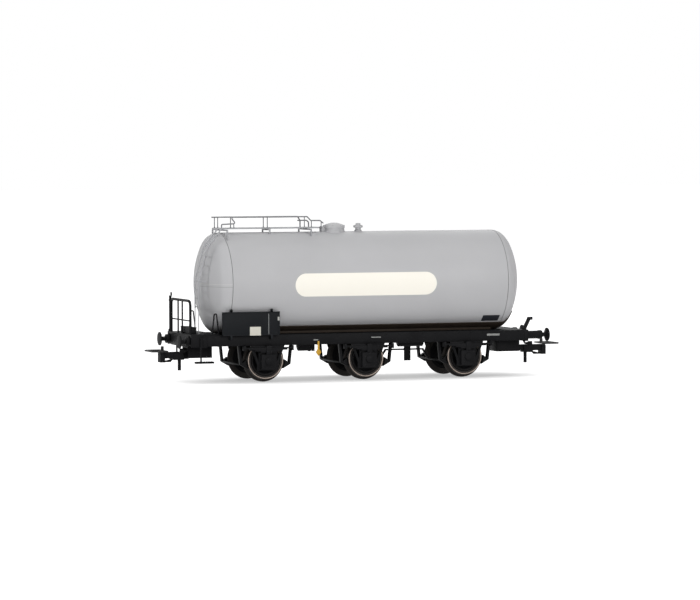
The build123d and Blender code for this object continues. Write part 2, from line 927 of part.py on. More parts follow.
# Ladder down the platform end of the tank, hung from the walkway and stayed to the dished end
ladder_x = end_tip_left - ladder_gap
ladder_top_x = walkway_left - wire / 2
ladder_bend_x = tank_seam_left - 0.9 * end_depth
ladder_top_z = (walkway_z + walkway_top) / 2
foot_z = platform_top + ladder_foot
knee_z = tank_axis_z + ladder_knee
bend_z = tank_axis_z + ladder_bend_share * tank_radius
with BuildPart() as end_ladder:
    for ladder_side in (-1, 1):
        rail_place = -ladder_middle + ladder_side * ladder_width / 2
        bent_wire(
            [
                (ladder_x, rail_place, foot_z),
                (ladder_x, rail_place, knee_z),
                (ladder_bend_x, rail_place, bend_z),
                (ladder_top_x, rail_place, ladder_top_z),
            ],
            wire * 2,
            wire,
        )
        stay_radius = math.hypot(rail_place, knee_z - tank_axis_z)
        stay_x = end_tip_left + crown_radius - math.sqrt(crown_radius**2 - stay_radius**2)
        bar((ladder_x, rail_place, knee_z), (stay_x - seat_clearance, rail_place, knee_z), thin_wire)
    top_start = (ladder_top_x, -ladder_middle - ladder_width / 2, ladder_top_z)
    bar(top_start, (ladder_top_x, 0, ladder_top_z), wire)
    for rung in range(rungs):
        rung_z = foot_z + wire + rung * (bend_z - foot_z) / rungs
        lean = max(0.0, rung_z - knee_z) / (bend_z - knee_z)
        rung_x = ladder_x + lean * (ladder_bend_x - ladder_x)
        bar(
            (rung_x, -ladder_middle - ladder_width / 2, rung_z),
            (rung_x, -ladder_middle + ladder_width / 2, rung_z),
            thin_wire,
        )
keep(end_ladder, "end_ladder")

# Steps under the platform, each hung from the side skirt
step_middle = -frame_end
for side_name, side in sides:
    hanger_y = side * (side_y + wire / 2)
    with BuildPart() as step:
        block(
            (step_middle - step_length / 2, step_middle + step_length / 2),
            (side * side_y, side * (side_y + step_depth)),
            (step_height, step_height + step_plate),
        )
        bar(
            (step_middle - 2 * wire, hanger_y, step_height + step_plate / 2),
            (step_middle - 2 * wire, hanger_y, frame_top - solebar_plate),
            wire,
        )
    keep(step, f"step_{side_name}")

# Grab loops beside the tank end, one on each side
grab_x = -frame_end + grab_inset
with BuildPart() as grab_loops:
    for side_name, side in sides:
        grab_y = side * (side_y - wire)
        bent_wire(
            [
                (grab_x - grab_width / 2, grab_y, platform_top),
                (grab_x - grab_width / 6, grab_y, frame_top + grab_height),
                (grab_x + grab_width / 6, grab_y, frame_top + grab_height),
                (grab_x + grab_width / 2, grab_y, platform_top),
            ],
            grab_bend,
            wire,
        )
keep(grab_loops, "grab_loops")

# Sign boards beside the tank, each on two feet with a clip above, on the left as seen from its side
for side_name, side in sides:
    board_left = -frame_end + board_inset if side < 0 else frame_end - board_inset - board_length
    board_y = side_y + board_gap
    board_span = (side * board_y, side * (board_y + board_thickness))
    with BuildPart() as sign_board:
        block((board_left, board_left + board_length), board_span, (frame_top, frame_top + board_height))
        for share in (0.16, 0.86):
            foot_x = board_left + share * board_length
            foot_span = (foot_x - board_foot / 2, foot_x + board_foot / 2)
            foot_bottom = frame_top - 2 * board_foot
            block(foot_span, (side * side_y, side * board_y), (foot_bottom, foot_bottom + board_foot))
            block(foot_span, board_span, (foot_bottom, frame_top))
            block(
                (foot_x - board_foot, foot_x + board_foot),
                board_span,
                (frame_top + board_height, frame_top + board_height + clip_height),
            )
    keep(sign_board, f"sign_board_{side_name}")

# Buffers: base plate, barrel, collar, shank and head, turned as one profile that is given by
# distance from the headstock and radius
collar_at = buffer_barrel_length
shank_at = buffer_barrel_length + buffer_collar_length
head_at = buffer_reach - buffer_head_thickness
buffer_section = (
    (0.0, 0.0),
    (0.0, buffer_base / 2),
    (buffer_base_thickness, buffer_base / 2),
    (buffer_base_thickness, buffer_barrel / 2),
    (collar_at, buffer_barrel / 2),
    (collar_at, buffer_collar / 2),
    (shank_at, buffer_collar / 2),
    (shank_at, buffer_shank / 2),
    (head_at - buffer_head_cone, buffer_shank / 2),
    (head_at, buffer_head / 2),
    (buffer_reach, buffer_head / 2),
    (buffer_reach, 0.0),
)
for end_name, outward in ends:
    for side_name, side in sides:
        centre_y = side * buffer_spacing / 2
        with BuildPart() as buffer:
            with BuildSketch(upright_plane(centre_y)):
                with BuildLine():
                    places = [(frame_end + reach, buffer_z + radius) for reach, radius in buffer_section]
                    Polyline(*[(outward * x, z) for x, z in places], close=True)
                make_face()
            revolve(axis=Axis((0, centre_y, buffer_z), (1, 0, 0)))
        keep(buffer, f"buffer_{end_name}_{side_name}")

# Couplers: a hood under each end, a swinging shank with its pivot and head, and a lifting loop
for end_name, outward in ends:
    box_x = outward * box_outer - coupler_box_offset
    with BuildPart() as coupler_box:
        block(
            (box_x - outward * coupler_box_length, box_x),
            (-coupler_box_width / 2, coupler_box_width / 2),
            (coupler_box_bottom, coupler_box_top),
        )
        block(
            (box_x - outward * (coupler_box_length - coupler_wall), box_x + outward),
            (-coupler_box_width / 2 + coupler_wall, coupler_box_width / 2 - coupler_wall),
            (coupler_box_bottom - coupler_wall, coupler_box_top - coupler_wall),
            mode=Mode.SUBTRACT,
        )
    keep(coupler_box, f"coupler_box_{end_name}")

    swing_x = outward * (frame_end - swing_inset)
    head_outer = outward * (frame_end + head_reach + head_thickness / 2)
    head_inner = head_outer - outward * head_thickness
    pin_x = outward * (frame_end + pin_reach)
    pivot_x = outward * (frame_end + loop_pivot_reach)
    tip_x = outward * (frame_end + coupler_tip_reach - loop_wire / 2)
    with BuildPart() as coupler:
        block(
            (swing_x, head_outer),
            (-shank_width / 2, shank_width / 2),
            (coupler_z - shank_height / 2, coupler_z + shank_height / 2),
        )
        rod(
            (swing_x, 0, coupler_z - shank_height / 2),
            (swing_x, 0, coupler_z + shank_height / 2),
            shank_width,
        )
        rod(
            (swing_x, 0, coupler_z),
            (swing_x, 0, coupler_box_top - coupler_wall - seat_clearance),
            pin_diameter,
        )
        block((head_inner, head_outer), (-head_width / 2, head_width / 2), (head_bottom, head_top))
        block(
            (pin_x - outward * shank_bulge, pin_x + outward * 2 * shank_bulge),
            (-head_width / 2, head_width / 2),
            (coupler_z - 0.5 * shank_height - shank_bulge / 2, coupler_z + 0.5 * shank_height),
        )
        plate(
            (
                (pin_x + outward * 2 * shank_bulge, coupler_z - shank_height / 2 - guard_wire / 2),
                (head_inner, head_bottom + guard_wire),
                (head_inner, head_bottom),
                (head_inner - outward * 2 * shank_bulge, head_bottom),
                (pin_x + outward * 2 * shank_bulge, coupler_z - shank_height / 2 - guard_wire),
            ),
            (-guard_wire, guard_wire),
        )
        rod((pin_x, 0, pin_bottom), (pin_x, 0, coupler_z), pin_diameter)
    keep(coupler, f"coupler_{end_name}")

    with BuildPart() as coupling_loop:
        bent_wire(
            [
                (pivot_x, -loop_width / 2, loop_z),
                (tip_x, -loop_width / 2, loop_z),
                (tip_x, loop_width / 2, loop_z),
                (pivot_x, loop_width / 2, loop_z),
            ],
            loop_bend,
            loop_wire,
        )
        bar(
            (pivot_x, -loop_width / 2 - loop_wire / 2, loop_z),
            (pivot_x, loop_width / 2 + loop_wire / 2, loop_z),
            loop_wire * 0.8,
        )
        block(
            (pivot_x, pivot_x + outward * lug_width),
            (-lug_width / 2, lug_width / 2),
            (loop_z - loop_wire * 0.4, lug_top),
        )
    keep(coupling_loop, f"coupling_loop_{end_name}")

# Brake hoses: a cock on each headstock and a sagging hose with its head
hose_y = -coupler_box_width / 2 - hose_gap
for end_name, outward in ends:
    hose_out = outward * (frame_end + hose_reach)
    with BuildPart() as brake_hose:
        bent_wire(
            [
                (outward * frame_end, hose_y, hose_z),
                (outward * (frame_end + hose_head), hose_y, hose_z),
                (outward * (frame_end + hose_reach / 2), hose_y, hose_z - hose_sag),
                (hose_out, hose_y, hose_z - hose_sag),
            ],
            hose_diameter,
            hose_diameter,
        )
        block(
            (hose_out, hose_out - outward * hose_head),
            (hose_y - hose_diameter / 2, hose_y + hose_diameter / 2),
            (hose_z - hose_sag - hose_diameter, hose_z - hose_sag + hose_diameter),
        )
        block(
            (outward * frame_end, outward * (frame_end + hose_diameter)),
            (hose_y - hose_head / 2, hose_y + hose_head / 2),
            (hose_z - hose_diameter, hose_z + hose_diameter),
        )
    keep(brake_hose, f"brake_hose_{end_name}")

# Lever on the right headstock: a foot, a leaning rod and a short grip
rod_foot_x = frame_end - lever_foot / 2
lever_base = frame_top + lever_foot / 2
lean = math.radians(lever_lean)
rod_top_x = rod_foot_x + lever_length * math.sin(lean)
rod_top_z = lever_base + lever_length * math.cos(lean)
with BuildPart() as end_lever:
    block(
        (frame_end - lever_foot, frame_end),
        (-lever_side - lever_foot / 2, -lever_side + lever_foot / 2),
        (frame_top, lever_base),
    )
    rod_foot = (rod_foot_x, -lever_side, lever_base - lever_diameter / 2)
    bar(rod_foot, (rod_top_x, -lever_side, rod_top_z), lever_diameter)
    bar(
        (rod_top_x - lever_diameter / 2, -lever_side, rod_top_z),
        (rod_top_x + lever_grip, -lever_side, rod_top_z),
        lever_diameter,
    )
keep(end_lever, "end_lever")
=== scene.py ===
import math
import bmesh
import bpy
from mathutils import Matrix, Vector


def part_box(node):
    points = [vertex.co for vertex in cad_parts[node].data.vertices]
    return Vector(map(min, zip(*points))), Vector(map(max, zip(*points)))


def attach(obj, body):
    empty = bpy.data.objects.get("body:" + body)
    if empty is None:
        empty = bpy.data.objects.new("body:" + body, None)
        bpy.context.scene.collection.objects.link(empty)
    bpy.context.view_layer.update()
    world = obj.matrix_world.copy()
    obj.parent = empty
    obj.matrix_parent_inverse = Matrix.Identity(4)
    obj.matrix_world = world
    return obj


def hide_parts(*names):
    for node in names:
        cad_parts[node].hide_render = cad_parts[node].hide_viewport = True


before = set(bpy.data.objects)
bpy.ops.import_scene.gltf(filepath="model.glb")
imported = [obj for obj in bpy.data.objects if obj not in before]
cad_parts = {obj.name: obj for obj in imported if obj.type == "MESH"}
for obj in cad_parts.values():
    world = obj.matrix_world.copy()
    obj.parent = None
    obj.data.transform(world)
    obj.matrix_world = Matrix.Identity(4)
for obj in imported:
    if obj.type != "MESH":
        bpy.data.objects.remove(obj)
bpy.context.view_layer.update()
MM = 0.001
X_AXIS = Vector((1, 0, 0))
Y_AXIS = Vector((0, 1, 0))
Z_AXIS = Vector((0, 0, 1))
SIDES = (("near", -1), ("far", 1))
ENDS = (("left", -1), ("right", 1))

# How finely the round pieces are turned
TANK_STEPS = 160
WHEEL_STEPS = 96
LID_STEPS = 72
FINE_STEPS = 48

# Sizes of the finishing pieces that the frame does not give
EDGE = 0.06 * MM
SEAM_GROOVE = 0.12 * MM
SEAM_LEFT_SHIFT = -0.3 * MM
TANK_STRETCH = 1.0171
DISHED_KNUCKLE = 3.7 * MM
BELLY_PROUD = 0.22 * MM
BELLY_EDGE = 2.3 * MM
BELLY_BEND = 0.5 * MM
BELLY_CURL = 0.4 / MM
BELLY_RISE = 3.2 * MM
BELLY_PAD = 1.2 * MM
LID_RISE = 0.9 * MM
LID_BODY_STEP = 0.12 * MM
GRID_FRAME = 0.35 * MM
GRID_TREADS = 44
LADDER_RUNGS = 7
WIRE = 0.4 * MM
THIN_WIRE = 0.3 * MM
RAIL_LOW = 1.9 * MM
LADDER_SIDES = (-7.8 * MM, -4.2 * MM)
RAILING_WIRE = 0.8 * MM
RAILING_MIDDLE = 3.9 * MM
RAILING_POST = 0.5 * MM
COLUMN_WIDTH = 0.75 * MM
WHEEL_FACE = 9.95 * MM
TREAD_RADIUS = 5.5 * MM
SOLEBAR_FACE = 11.95 * MM
SOLEBAR_RIVETS = 26
BOARD_DEPTH = 0.4 * MM
BOARD_RIM = 0.28 * MM
LOOP_HALF = 4 * MM
LOOP_Z = 9.25 * MM


# Camera of the photograph
CAMERA_AZIMUTH = math.radians(-19.206)
CAMERA_ELEVATION = math.radians(2.396)
CAMERA_ROLL = math.radians(-0.164)
CAMERA_DISTANCE = 1166.83 * MM
CAMERA_TARGET = Vector((-1.475, 0, 23.145)) * MM
CAMERA_LENS = 202.18


# Floor: what the camera sees of it, its weak fill light from below, and the oval under the wagon
# where its own white is turned down, so that the cast shadow reads as deep as in the photograph
FLOOR_SHADE = 0.5
FLOOR_GLOW = 0.47
FLOOR_BOUNCE = 0.16
WORLD_LIGHT = 0.06
SHADE_MIDDLE = (0.5 * MM, -4.0 * MM)
SHADE_REACH_X = 65.5 * MM
SHADE_REACH_Y = 26 * MM
SHADE_FULL = 0.35
SHADE_GONE = 1.05


def colour(red, green, blue):
    """A linear colour from the usual 0 to 255 values."""
    linear = []
    for value in (red, green, blue):
        share = value / 255
        linear.append(share / 12.92 if share <= 0.04045 else ((share + 0.055) / 1.055) ** 2.4)
    return (*linear, 1.0)


# Shading helpers
def link(tree, source, target):
    tree.links.new(source, target)


def put(tree, kind, **settings):
    """Add a node and set what is named: node properties by name, sockets by a dictionary."""
    node = tree.nodes.new(kind)
    sockets = settings.pop("sockets", {})
    for name, value in settings.items():
        setattr(node, name, value)
    for name, value in sockets.items():
        if isinstance(value, bpy.types.NodeSocket):
            link(tree, value, node.inputs[name])
        else:
            node.inputs[name].default_value = value
    return node


def sum_of(tree, operation, *values):
    """A Math node fed with sockets or numbers."""
    node = put(tree, "ShaderNodeMath", operation=operation)
    for index, value in enumerate(values):
        if isinstance(value, bpy.types.NodeSocket):
            link(tree, value, node.inputs[index])
        else:
            node.inputs[index].default_value = value
    return node.outputs[0]


def effect(name, inputs, outputs):
    """An empty shader node group with named inputs (name, type, value) and outputs (name, type)."""
    group = bpy.data.node_groups.new(name, "ShaderNodeTree")
    for title, kind, value in inputs:
        socket = group.interface.new_socket(name=title, in_out="INPUT", socket_type=kind)
        if value is not None:
            socket.default_value = value
    for title, kind in outputs:
        group.interface.new_socket(name=title, in_out="OUTPUT", socket_type=kind)
    return group, group.nodes.new("NodeGroupInput"), group.nodes.new("NodeGroupOutput")


def moulded_grain():
    """The faint ripple and mottling of a moulded surface."""
    group, given, result = effect(
        "moulded_grain",
        (("Place", "NodeSocketVector", None), ("Ripple Size", "NodeSocketFloat", 900.0),
         ("Mottle Size", "NodeSocketFloat", 120.0)),
        (("Height", "NodeSocketFloat"), ("Mottle", "NodeSocketFloat")),
    )
    place = given.outputs["Place"]
    ripple = put(group, "ShaderNodeTexNoise", sockets={"Vector": place, "Scale": given.outputs["Ripple Size"],
                                                       "Detail": 3.0, "Roughness": 0.6})
    mottle = put(group, "ShaderNodeTexNoise", sockets={"Vector": place, "Scale": given.outputs["Mottle Size"],
                                                       "Detail": 5.0, "Roughness": 0.55})
    link(group, ripple.outputs[0], result.inputs["Height"])
    link(group, mottle.outputs[0], result.inputs["Mottle"])
    return group


def settled_dust():
    """A pale haze on faces that look up, broken up by noise."""
    group, given, result = effect(
        "settled_dust",
        (("Place", "NodeSocketVector", None), ("Amount", "NodeSocketFloat", 0.3), ("Size", "NodeSocketFloat", 300.0)),
        (("Mask", "NodeSocketFloat"),),
    )
    facing = put(group, "ShaderNodeNewGeometry")
    up = put(group, "ShaderNodeSeparateXYZ", sockets={"Vector": facing.outputs["Normal"]})
    lying = sum_of(group, "MAXIMUM", up.outputs["Z"], 0.0)
    clouds = put(group, "ShaderNodeTexNoise", sockets={"Vector": given.outputs["Place"],
                                                       "Scale": given.outputs["Size"], "Detail": 6.0})
    broken = sum_of(group, "MULTIPLY", clouds.outputs[0], given.outputs["Amount"])
    link(group, sum_of(group, "MULTIPLY", lying, broken), result.inputs["Mask"])
    return group


def printed_stadium():
    """The mask of a flat mark with round ends, given by its centre, half length and half height."""
    group, given, result = effect(
        "printed_stadium",
        (("Place", "NodeSocketVector", None), ("Centre X", "NodeSocketFloat", 0.0),
         ("Centre Z", "NodeSocketFloat", 0.0), ("Half Length", "NodeSocketFloat", 0.02),
         ("Half Height", "NodeSocketFloat", 0.003), ("Soft Edge", "NodeSocketFloat", 0.00005)),
        (("Mask", "NodeSocketFloat"),),
    )
    parts = put(group, "ShaderNodeSeparateXYZ", sockets={"Vector": given.outputs["Place"]})
    along = sum_of(group, "ABSOLUTE", sum_of(group, "SUBTRACT", parts.outputs["X"], given.outputs["Centre X"]))
    up = sum_of(group, "SUBTRACT", parts.outputs["Z"], given.outputs["Centre Z"])
    straight = sum_of(group, "SUBTRACT", given.outputs["Half Length"], given.outputs["Half Height"])
    past = sum_of(group, "MAXIMUM", sum_of(group, "SUBTRACT", along, straight), 0.0)
    away = sum_of(group, "SQRT", sum_of(group, "ADD", sum_of(group, "MULTIPLY", past, past),
                                        sum_of(group, "MULTIPLY", up, up)))
    inside = sum_of(group, "SUBTRACT", given.outputs["Half Height"], away)
    edge = sum_of(group, "DIVIDE", inside, given.outputs["Soft Edge"])
    link(group, put(group, "ShaderNodeClamp", sockets={"Value": edge}).outputs[0], result.inputs["Mask"])
    return group


def printed_box():
    """The mask of a flat mark with square corners."""
    group, given, result = effect(
        "printed_box",
        (("Place", "NodeSocketVector", None), ("Centre X", "NodeSocketFloat", 0.0),
         ("Centre Z", "NodeSocketFloat", 0.0), ("Half Length", "NodeSocketFloat", 0.002),
         ("Half Height", "NodeSocketFloat", 0.001), ("Soft Edge", "NodeSocketFloat", 0.00005)),
        (("Mask", "NodeSocketFloat"),),
    )
    parts = put(group, "ShaderNodeSeparateXYZ", sockets={"Vector": given.outputs["Place"]})
    along = sum_of(group, "ABSOLUTE", sum_of(group, "SUBTRACT", parts.outputs["X"], given.outputs["Centre X"]))
    up = sum_of(group, "ABSOLUTE", sum_of(group, "SUBTRACT", parts.outputs["Z"], given.outputs["Centre Z"]))
    inside = sum_of(group, "MINIMUM", sum_of(group, "SUBTRACT", given.outputs["Half Length"], along),
                    sum_of(group, "SUBTRACT", given.outputs["Half Height"], up))
    edge = sum_of(group, "DIVIDE", inside, given.outputs["Soft Edge"])
    link(group, put(group, "ShaderNodeClamp", sockets={"Value": edge}).outputs[0], result.inputs["Mask"])
    return group


EFFECTS = {
    "grain": moulded_grain(),
    "dust": settled_dust(),
    "stadium": printed_stadium(),
    "box": printed_box(),
}


def placed(tree, name, **sockets):
    """One of the shared effects, placed in a material with its own values."""
    node = tree.nodes.new("ShaderNodeGroup")
    node.node_tree = EFFECTS[name]
    for title, value in sockets.items():
        title = title.replace("_", " ")
        if isinstance(value, bpy.types.NodeSocket):
            link(tree, value, node.inputs[title])
        else:
            node.inputs[title].default_value = value
    return node


def blended(tree, mask, under, over):
    """A colour mixed between two colours or sockets by a mask."""
    node = put(tree, "ShaderNodeMix", data_type="RGBA")
    for socket, value in ((node.inputs["Factor"], mask), (node.inputs[6], under), (node.inputs[7], over)):
        if isinstance(value, bpy.types.NodeSocket):
            link(tree, value, socket)
        else:
            socket.default_value = value
    return node.outputs[2]


def ranged(tree, value, low, high):
    """A value from 0.3 to 0.7 stretched to a range."""
    node = put(tree, "ShaderNodeMapRange", sockets={"Value": value, "From Min": 0.3, "From Max": 0.7,
                                                    "To Min": low, "To Max": high})
    return node.outputs[0]


def moulding(name, base, shade, dust_colour, rough, dust=0.3, ripple=900.0, mottle=120.0, bump=0.02,
             coat=0.0, metal=0.0, specular=0.5, marks=(), painted_underside_shade=None):
    """A finished moulding: mottled colour, dust on top, grain in its gloss and a fine ripple.
    marks are (effect, centre x, centre z, half length, half height, colour), some of them painted highlight and painted
    shade lines; the last argument is painted shade that darkens the lower part, given as (height where it starts,
    height where it is full, colour)."""
    material = bpy.data.materials.new(name)
    material.use_nodes = True
    tree = material.node_tree
    tree.nodes.clear()
    place = put(tree, "ShaderNodeTexCoord").outputs["Object"]
    grain = placed(tree, "grain", Place=place, Ripple_Size=ripple, Mottle_Size=mottle)
    haze = placed(tree, "dust", Place=place, Amount=dust)
    tone = blended(tree, ranged(tree, grain.outputs["Mottle"], 0.0, 1.0), base, shade)
    for kind, centre_x, centre_z, half_length, half_height, ink in marks:
        mark = placed(tree, kind, Place=place, Centre_X=centre_x, Centre_Z=centre_z,
                      Half_Length=half_length, Half_Height=half_height)
        tone = blended(tree, mark.outputs["Mask"], tone, ink)
    # Painted shade: the colour turns darker towards the bottom, between the two given heights
    if painted_underside_shade:
        start_z, full_z, dark = painted_underside_shade
        height = put(tree, "ShaderNodeSeparateXYZ", sockets={"Vector": place}).outputs["Z"]
        fade = put(tree, "ShaderNodeMapRange", sockets={"Value": height, "From Min": full_z, "From Max": start_z,
                                                        "To Min": 1.0, "To Max": 0.0}).outputs[0]
        tone = blended(tree, fade, tone, dark)
    tone = blended(tree, haze.outputs["Mask"], tone, dust_colour)
    relief = put(tree, "ShaderNodeBump", sockets={"Height": grain.outputs["Height"], "Strength": 0.5,
                                                  "Distance": bump * MM})
    shader = put(tree, "ShaderNodeBsdfPrincipled", sockets={
        "Base Color": tone,
        "Roughness": ranged(tree, grain.outputs["Mottle"], rough - 0.06, rough + 0.06),
        "Metallic": metal,
        "Coat Weight": coat,
        "Coat Roughness": 0.25,
        "Specular IOR Level": specular,
        "Normal": relief.outputs[0],
    })
    finish = put(tree, "ShaderNodeOutputMaterial")
    link(tree, shader.outputs[0], finish.inputs[0])
    return material


# Finishes
PANEL = ("stadium", -1.36 * MM, 28.36 * MM, 22.0 * MM, 3.41 * MM, colour(254, 250, 239))
TABLE = ("box", 39.5 * MM, 17.5 * MM, 2.7 * MM, 0.9 * MM, colour(38, 40, 46))
BOARD_LABEL = ("box", -35.4 * MM, 15.15 * MM, 1.68 * MM, 1.3 * MM, colour(214, 211, 200))
BOARD_LINE = ("box", -31.3 * MM, 17.2 * MM, 0.1 * MM, 3.0 * MM, colour(150, 152, 152))
BOARD_CORNER = ("box", -28.3 * MM, 18.7 * MM, 0.28 * MM, 0.55 * MM, colour(180, 180, 176))
# Painted shade: dark lines drawn along the seam grooves of the tank
SEAM_LEFT_PAINTED_SHADE = ("box", -42.4 * MM, 28.0 * MM, 0.1 * MM, 18.0 * MM, colour(126, 126, 127))
SEAM_RIGHT_PAINTED_SHADE = ("box", 43.3 * MM, 28.0 * MM, 0.1 * MM, 18.0 * MM, colour(138, 138, 139))
# Painted highlight and painted shade: a light line above and a dark line below across the left dished end
DISH_PAINTED_HIGHLIGHT = ("box", -45.6 * MM, 28.8 * MM, 3.1 * MM, 0.07 * MM, colour(204, 203, 200))
DISH_PAINTED_SHADE = ("box", -45.6 * MM, 28.05 * MM, 3.1 * MM, 0.07 * MM, colour(140, 139, 137))
# Painted shade: the dished ends turn darker towards the bottom
END_PAINTED_SHADE = (16.9 * MM, 14.3 * MM, colour(48, 43, 38))
DUST = colour(96, 94, 90)
TANK_PAINT = moulding("tank_paint", colour(186, 186, 188), colour(180, 180, 182), colour(194, 194, 194), 0.5,
                      dust=0.15, ripple=500.0, mottle=40.0, bump=0.006, specular=0.3,
                      marks=(PANEL, TABLE, SEAM_LEFT_PAINTED_SHADE, SEAM_RIGHT_PAINTED_SHADE))
END_PAINT = moulding("end_paint", colour(186, 186, 188), colour(180, 180, 182), colour(194, 194, 194), 0.5,
                     dust=0.15, ripple=500.0, mottle=40.0, bump=0.006, specular=0.3,
                     marks=(SEAM_LEFT_PAINTED_SHADE, SEAM_RIGHT_PAINTED_SHADE, DISH_PAINTED_HIGHLIGHT, DISH_PAINTED_SHADE),
                     painted_underside_shade=END_PAINTED_SHADE)
BELLY_PAINT = moulding("belly_paint", colour(56, 47, 39), colour(46, 39, 32), DUST, 0.66, dust=0.06, specular=0.2)
WALKWAY_GREY = moulding("walkway_grey", colour(172, 173, 176), colour(160, 161, 164), colour(186, 186, 186), 0.52,
                        dust=0.2, specular=0.3)
RAIL_GREY = moulding("rail_grey", colour(134, 135, 138), colour(118, 119, 122), colour(170, 170, 170), 0.5,
                     dust=0.2, specular=0.3)
CHASSIS_BLACK = moulding("chassis_black", colour(13, 13, 15), colour(9, 9, 11), colour(58, 58, 58), 0.56,
                         dust=0.08, specular=0.09)
WIRE_BLACK = moulding("wire_black", colour(14, 14, 15), colour(20, 19, 19), DUST, 0.45, dust=0.06, specular=0.25)
SIGN_BLACK = moulding("sign_black", colour(9, 12, 16), colour(6, 9, 13), colour(60, 64, 68), 0.5, dust=0.06,
                      specular=0.12, marks=(BOARD_LABEL, BOARD_LINE, BOARD_CORNER))
PLATE_GREY = moulding("plate_grey", colour(150, 151, 149), colour(132, 133, 131), DUST, 0.5, specular=0.3)
YELLOW = moulding("yellow_plastic", colour(206, 158, 30), colour(190, 144, 24), DUST, 0.4, coat=0.2, specular=0.3)
TYRE_METAL = moulding("tyre_metal", colour(138, 127, 119), colour(112, 102, 95), DUST, 0.4, metal=0.85,
                      ripple=2200.0, mottle=500.0)
TREAD_METAL = moulding("tread_metal", colour(38, 34, 31), colour(28, 25, 24), DUST, 0.5, metal=0.7,
                       ripple=2200.0, mottle=500.0)


# Shaping helpers
def turned(shape, centre, direction, profile, steps, radial=None):
    """Turn a profile of (distance along, radius) about a line through centre."""
    if radial is None:
        radial = Z_AXIS if abs(direction.z) < 0.5 else X_AXIS
    corners = [shape.verts.new(centre + direction * along + radial * radius) for along, radius in profile]
    runs = [shape.edges.new(pair) for pair in zip(corners, corners[1:])]
    bmesh.ops.spin(shape, geom=corners + runs, cent=centre, axis=direction, angle=2 * math.pi, steps=steps,
                   use_merge=True)


def in_mm(points):
    """A profile written in millimetres."""
    return [(along * MM, radius * MM) for along, radius in points]


def arc_profile(centre_along, centre_radius, radius, start, end, steps):
    """Points of (distance along, radius) on an arc, angles in degrees from the turning line."""
    points = []
    for step in range(steps + 1):
        angle = math.radians(start + (end - start) * step / steps)
        points.append((centre_along + radius * math.cos(angle), centre_radius + radius * math.sin(angle)))
    return points


def rounded_route(points, bend, steps=6):
    """The corners of a bent wire with each inner corner turned into an arc."""
    points = [Vector(point) for point in points]
    route = [points[0]]
    for before, corner, after in zip(points, points[1:], points[2:]):
        inward = (before - corner).normalized()
        outward = (after - corner).normalized()
        half = inward.angle(outward) / 2
        reach = min(bend / math.tan(half), (before - corner).length * 0.49, (after - corner).length * 0.49)
        middle = corner + (inward + outward).normalized() * (reach / math.cos(half))
        first = corner + inward * reach - middle
        last = corner + outward * reach - middle
        for step in range(steps + 1):
            route.append(middle + first.slerp(last, step / steps).normalized() * first.length)
    route.append(points[-1])
    return route


def add_wire(shape, points, thickness, bend=0.0, sides=3):
    """A round wire along a route, closed at both ends."""
    route = rounded_route(points, bend) if bend else [Vector(point) for point in points]
    curve = bpy.data.curves.new("route", "CURVE")
    curve.dimensions = "3D"
    curve.bevel_depth = thickness / 2
    curve.bevel_resolution = sides
    curve.use_fill_caps = True
    spline = curve.splines.new("POLY")
    spline.points.add(len(route) - 1)
    for point, place in zip(spline.points, route):
        point.co = (*place, 1)
    holder = bpy.data.objects.new("route", curve)
    mesh = bpy.data.meshes.new_from_object(holder)
    shape.from_mesh(mesh)
    bpy.data.objects.remove(holder)
    bpy.data.curves.remove(curve)
    bpy.data.meshes.remove(mesh)


def add_block(shape, x_span, y_span, z_span, edge=EDGE):
    """A block between two places along each direction, its edges slightly rounded."""
    spans = (x_span, y_span, z_span)
    middle = Vector([sum(span) / 2 for span in spans])
    size = Vector([abs(span[1] - span[0]) for span in spans])
    made = bmesh.ops.create_cube(shape, size=1.0, matrix=Matrix.Translation(middle) @ Matrix.Diagonal((*size, 1)))
    edges = list({line for corner in made["verts"] for line in corner.link_edges})
    bmesh.ops.bevel(shape, geom=edges, offset=min(edge, min(size) * 0.3), offset_type="OFFSET", segments=2,
                    profile=0.5, affect="EDGES", material=-1)


def add_rod(shape, start, end, diameter, steps=24):
    """A straight round bar with its rims slightly rounded."""
    start, end = Vector(start), Vector(end)
    run = end - start
    length = run.length
    edge = min(EDGE, diameter * 0.2, length * 0.3)
    radius = diameter / 2
    profile = [(0, 0), (0, radius - edge), (edge, radius), (length - edge, radius), (length, radius - edge),
               (length, 0)]
    turned_about(shape, start, run.normalized(), profile, steps)


def turned_about(shape, centre, direction, profile, steps):
    """Turn a profile about a line that points anywhere."""
    side = X_AXIS if abs(direction.x) < 0.7 else Y_AXIS
    turned(shape, centre, direction, profile, steps, radial=direction.cross(side).normalized())


def tidy(shape):
    """Merge what lies together and point every face outwards."""
    bmesh.ops.remove_doubles(shape, verts=shape.verts, dist=0.002 * MM)
    bmesh.ops.recalc_face_normals(shape, faces=shape.faces)


def finished(name, shape, material, nodes=(), body="wagon", crease=35):
    """Make a piece of a mesh: smooth, finished, riding on its body, in place of its CAD nodes."""
    tidy(shape)
    mesh = bpy.data.meshes.new(name)
    shape.to_mesh(mesh)
    shape.free()
    mesh.materials.append(material)
    mesh.shade_smooth()
    mesh.set_sharp_from_angle(angle=math.radians(crease))
    thing = bpy.data.objects.new(name, mesh)
    bpy.context.scene.collection.objects.link(thing)
    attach(thing, body)
    if nodes:
        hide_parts(*nodes)


